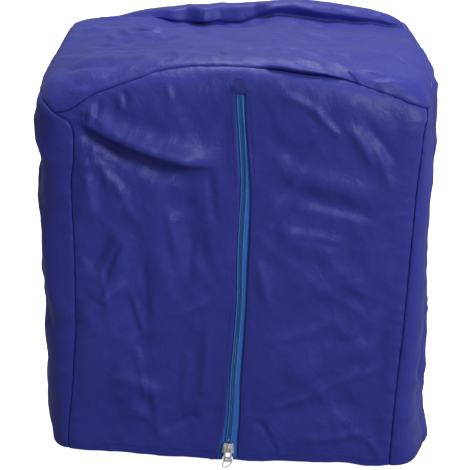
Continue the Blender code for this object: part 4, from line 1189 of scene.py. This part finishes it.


# Nickel plate, browned and rubbed dull in patches
def makeMetal():
    look = metalLook
    material, nodes, links, shader = newMaterial("nickelPlate", look["roughness"], look["metallic"])
    place = nodes.new("ShaderNodeTexCoord")
    stain = addNode(nodes, "ShaderNodeTexNoise", Scale=320.0, Detail=4.0, Roughness=0.65)
    links.new(place.outputs["Object"], stain.inputs["Vector"])
    patch = stretched(nodes, links, stain.outputs["Fac"], fromMin=0.5, fromMax=0.72)
    shade = mixColours(nodes, links, look["plating"], look["tarnish"], patch)
    links.new(shade, shader.inputs["Base Color"])
    dull = stretched(nodes, links, stain.outputs["Fac"],
                     toMin=look["roughness"] - 0.08, toMax=look["roughness"] + 0.15)
    links.new(dull, shader.inputs["Roughness"])
    links.new(bumped(nodes, links, stain.outputs["Fac"], 0.15, 0.0002), shader.inputs["Normal"])
    return material


print("finishing the zip")
seamThread = makeThread("seamThread", threadLook["colour"])
slitThread = makeThread("slitThread", threadLook["slitColour"])
zipTapeWeave = makeTapeMaterial()
coilNylon = makeNylon("coilNylon", coilLook["colour"], coilLook["bright"], 0.35)
railNylon = makeNylon("railNylon", coilLook["rail"], coilLook["bright"], 0.45)
for piece in (tapeLeft, tapeRight):
    dress(piece, zipTapeWeave)
for piece in (coilLeft, coilRight):
    dress(piece, coilNylon)
for piece in (railLeft, railRight):
    dress(piece, railNylon)
for piece in slitStitches:
    dress(piece, slitThread)
for piece in hemStitches + [bartack]:
    dress(piece, seamThread)
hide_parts("zip_tape_left")
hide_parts("zip_tape_right")
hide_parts("zip_coil_left")
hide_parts("zip_coil_right")

nickelPlate = makeMetal()
for name in ("zip_slider", "zip_pull", "pull_ring"):
    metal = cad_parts[name]
    metal.material_slots[0].material = nickelPlate
    for face in metal.data.polygons:
        face.use_smooth = False


# Floor, light and camera

stageLook = {
    "floorDepth": 0.418, "floorSize": 14.0,
    "floor": (0.95, 0.95, 0.95, 1), "floorBounce": (0.3, 0.3, 0.31, 1),
    "floorRoughness": 0.7, "floorGlow": 1.0, "backdrop": 1.0, "roomLight": 0.31,
}


def makeFloor():
    bpy.ops.object.select_all(action="DESELECT")
    bpy.ops.mesh.primitive_plane_add(size=stageLook["floorSize"], location=(0, 0, -stageLook["floorDepth"]))
    floor = bpy.context.object
    floor.name = "floor"
    material, nodes, links, shader = newMaterial("paleFloor", stageLook["floorRoughness"])
    # Pale to look at, but it throws little light up into the folds
    rays = nodes.new("ShaderNodeLightPath")
    seen = rays.outputs["Is Camera Ray"]
    shade = mixColours(nodes, links, stageLook["floorBounce"], stageLook["floor"], seen)
    links.new(shade, shader.inputs["Base Color"])
    shader.inputs["Specular IOR Level"].default_value = 0.0
    shader.inputs["Emission Color"].default_value = (1, 1, 1, 1)
    glow = addNode(nodes, "ShaderNodeMath", operation="MULTIPLY")
    glow.inputs[1].default_value = stageLook["floorGlow"]
    links.new(rays.outputs["Is Camera Ray"], glow.inputs[0])
    links.new(glow.outputs["Value"], shader.inputs["Emission Strength"])
    floor.data.materials.append(material)


def makeWorld():
    world = bpy.data.worlds.new("paleRoom")
    bpy.context.scene.world = world
    world.use_nodes = True
    nodes, links = world.node_tree.nodes, world.node_tree.links
    background = nodes["Background"]
    background.inputs["Color"].default_value = (1, 1, 1, 1)
    rays = nodes.new("ShaderNodeLightPath")
    strength = nodes.new("ShaderNodeMapRange")
    strength.inputs["To Min"].default_value = stageLook["roomLight"]
    strength.inputs["To Max"].default_value = stageLook["backdrop"]
    links.new(rays.outputs["Is Camera Ray"], strength.inputs["Value"])
    links.new(strength.outputs["Result"], background.inputs["Strength"])


def makeLight(name, place, size, power, aim):
    lamp = bpy.data.lights.new(name, "AREA")
    lamp.size = size
    lamp.energy = power
    light = bpy.data.objects.new(name, lamp)
    bpy.context.scene.collection.objects.link(light)
    light.location = place
    light.rotation_euler = (Vector(aim) - Vector(place)).to_track_quat("-Z", "Y").to_euler()


cameraView = {
    "aim": (0, 0, -0.2049), "elevation": 21.958, "distance": 1.2585, "focalPixels": 1256.5, "roll": -0.5357,
    "centre": (235.46, 234.22), "picture": 470,
}


def makeCamera():
    view = cameraView
    elevation = math.radians(view["elevation"])
    aim = Vector(view["aim"])
    place = aim + view["distance"] * Vector((0, -math.cos(elevation), math.sin(elevation)))
    ahead = (aim - place).normalized()
    right = ahead.cross(Vector((0, 0, 1))).normalized()
    up = right.cross(ahead)
    roll = math.radians(view["roll"])
    rolledRight = right * math.cos(roll) - up * math.sin(roll)
    rolledUp = rolledRight.cross(ahead)
    turn = Matrix((rolledRight, rolledUp, -ahead)).transposed().to_4x4()
    lens = bpy.data.cameras.new("camera")
    camera = bpy.data.objects.new("camera", lens)
    bpy.context.scene.collection.objects.link(camera)
    turn.translation = place
    camera.matrix_world = turn
    half = view["picture"] / 2
    lens.sensor_width = 36
    lens.lens = view["focalPixels"] / view["picture"] * lens.sensor_width
    lens.shift_x = (half - view["centre"][0]) / view["picture"]
    lens.shift_y = (view["centre"][1] - half) / view["picture"]
    bpy.context.scene.camera = camera


print("setting the floor, light and camera")
makeFloor()
makeWorld()
makeLight("overhead", (0.15, 0.45, 1.45), 0.5, 18.5, (0, 0, -0.1))
makeLight("fromFront", (1.4, -1.6, 0.95), 0.6, 30, (0, 0, -0.25))
makeLight("fromRight", (1.8, 0.3, -0.1), 0.7, 3, (0, 0, -0.3))
makeCamera()
bpy.context.scene.view_settings.view_transform = "Standard"
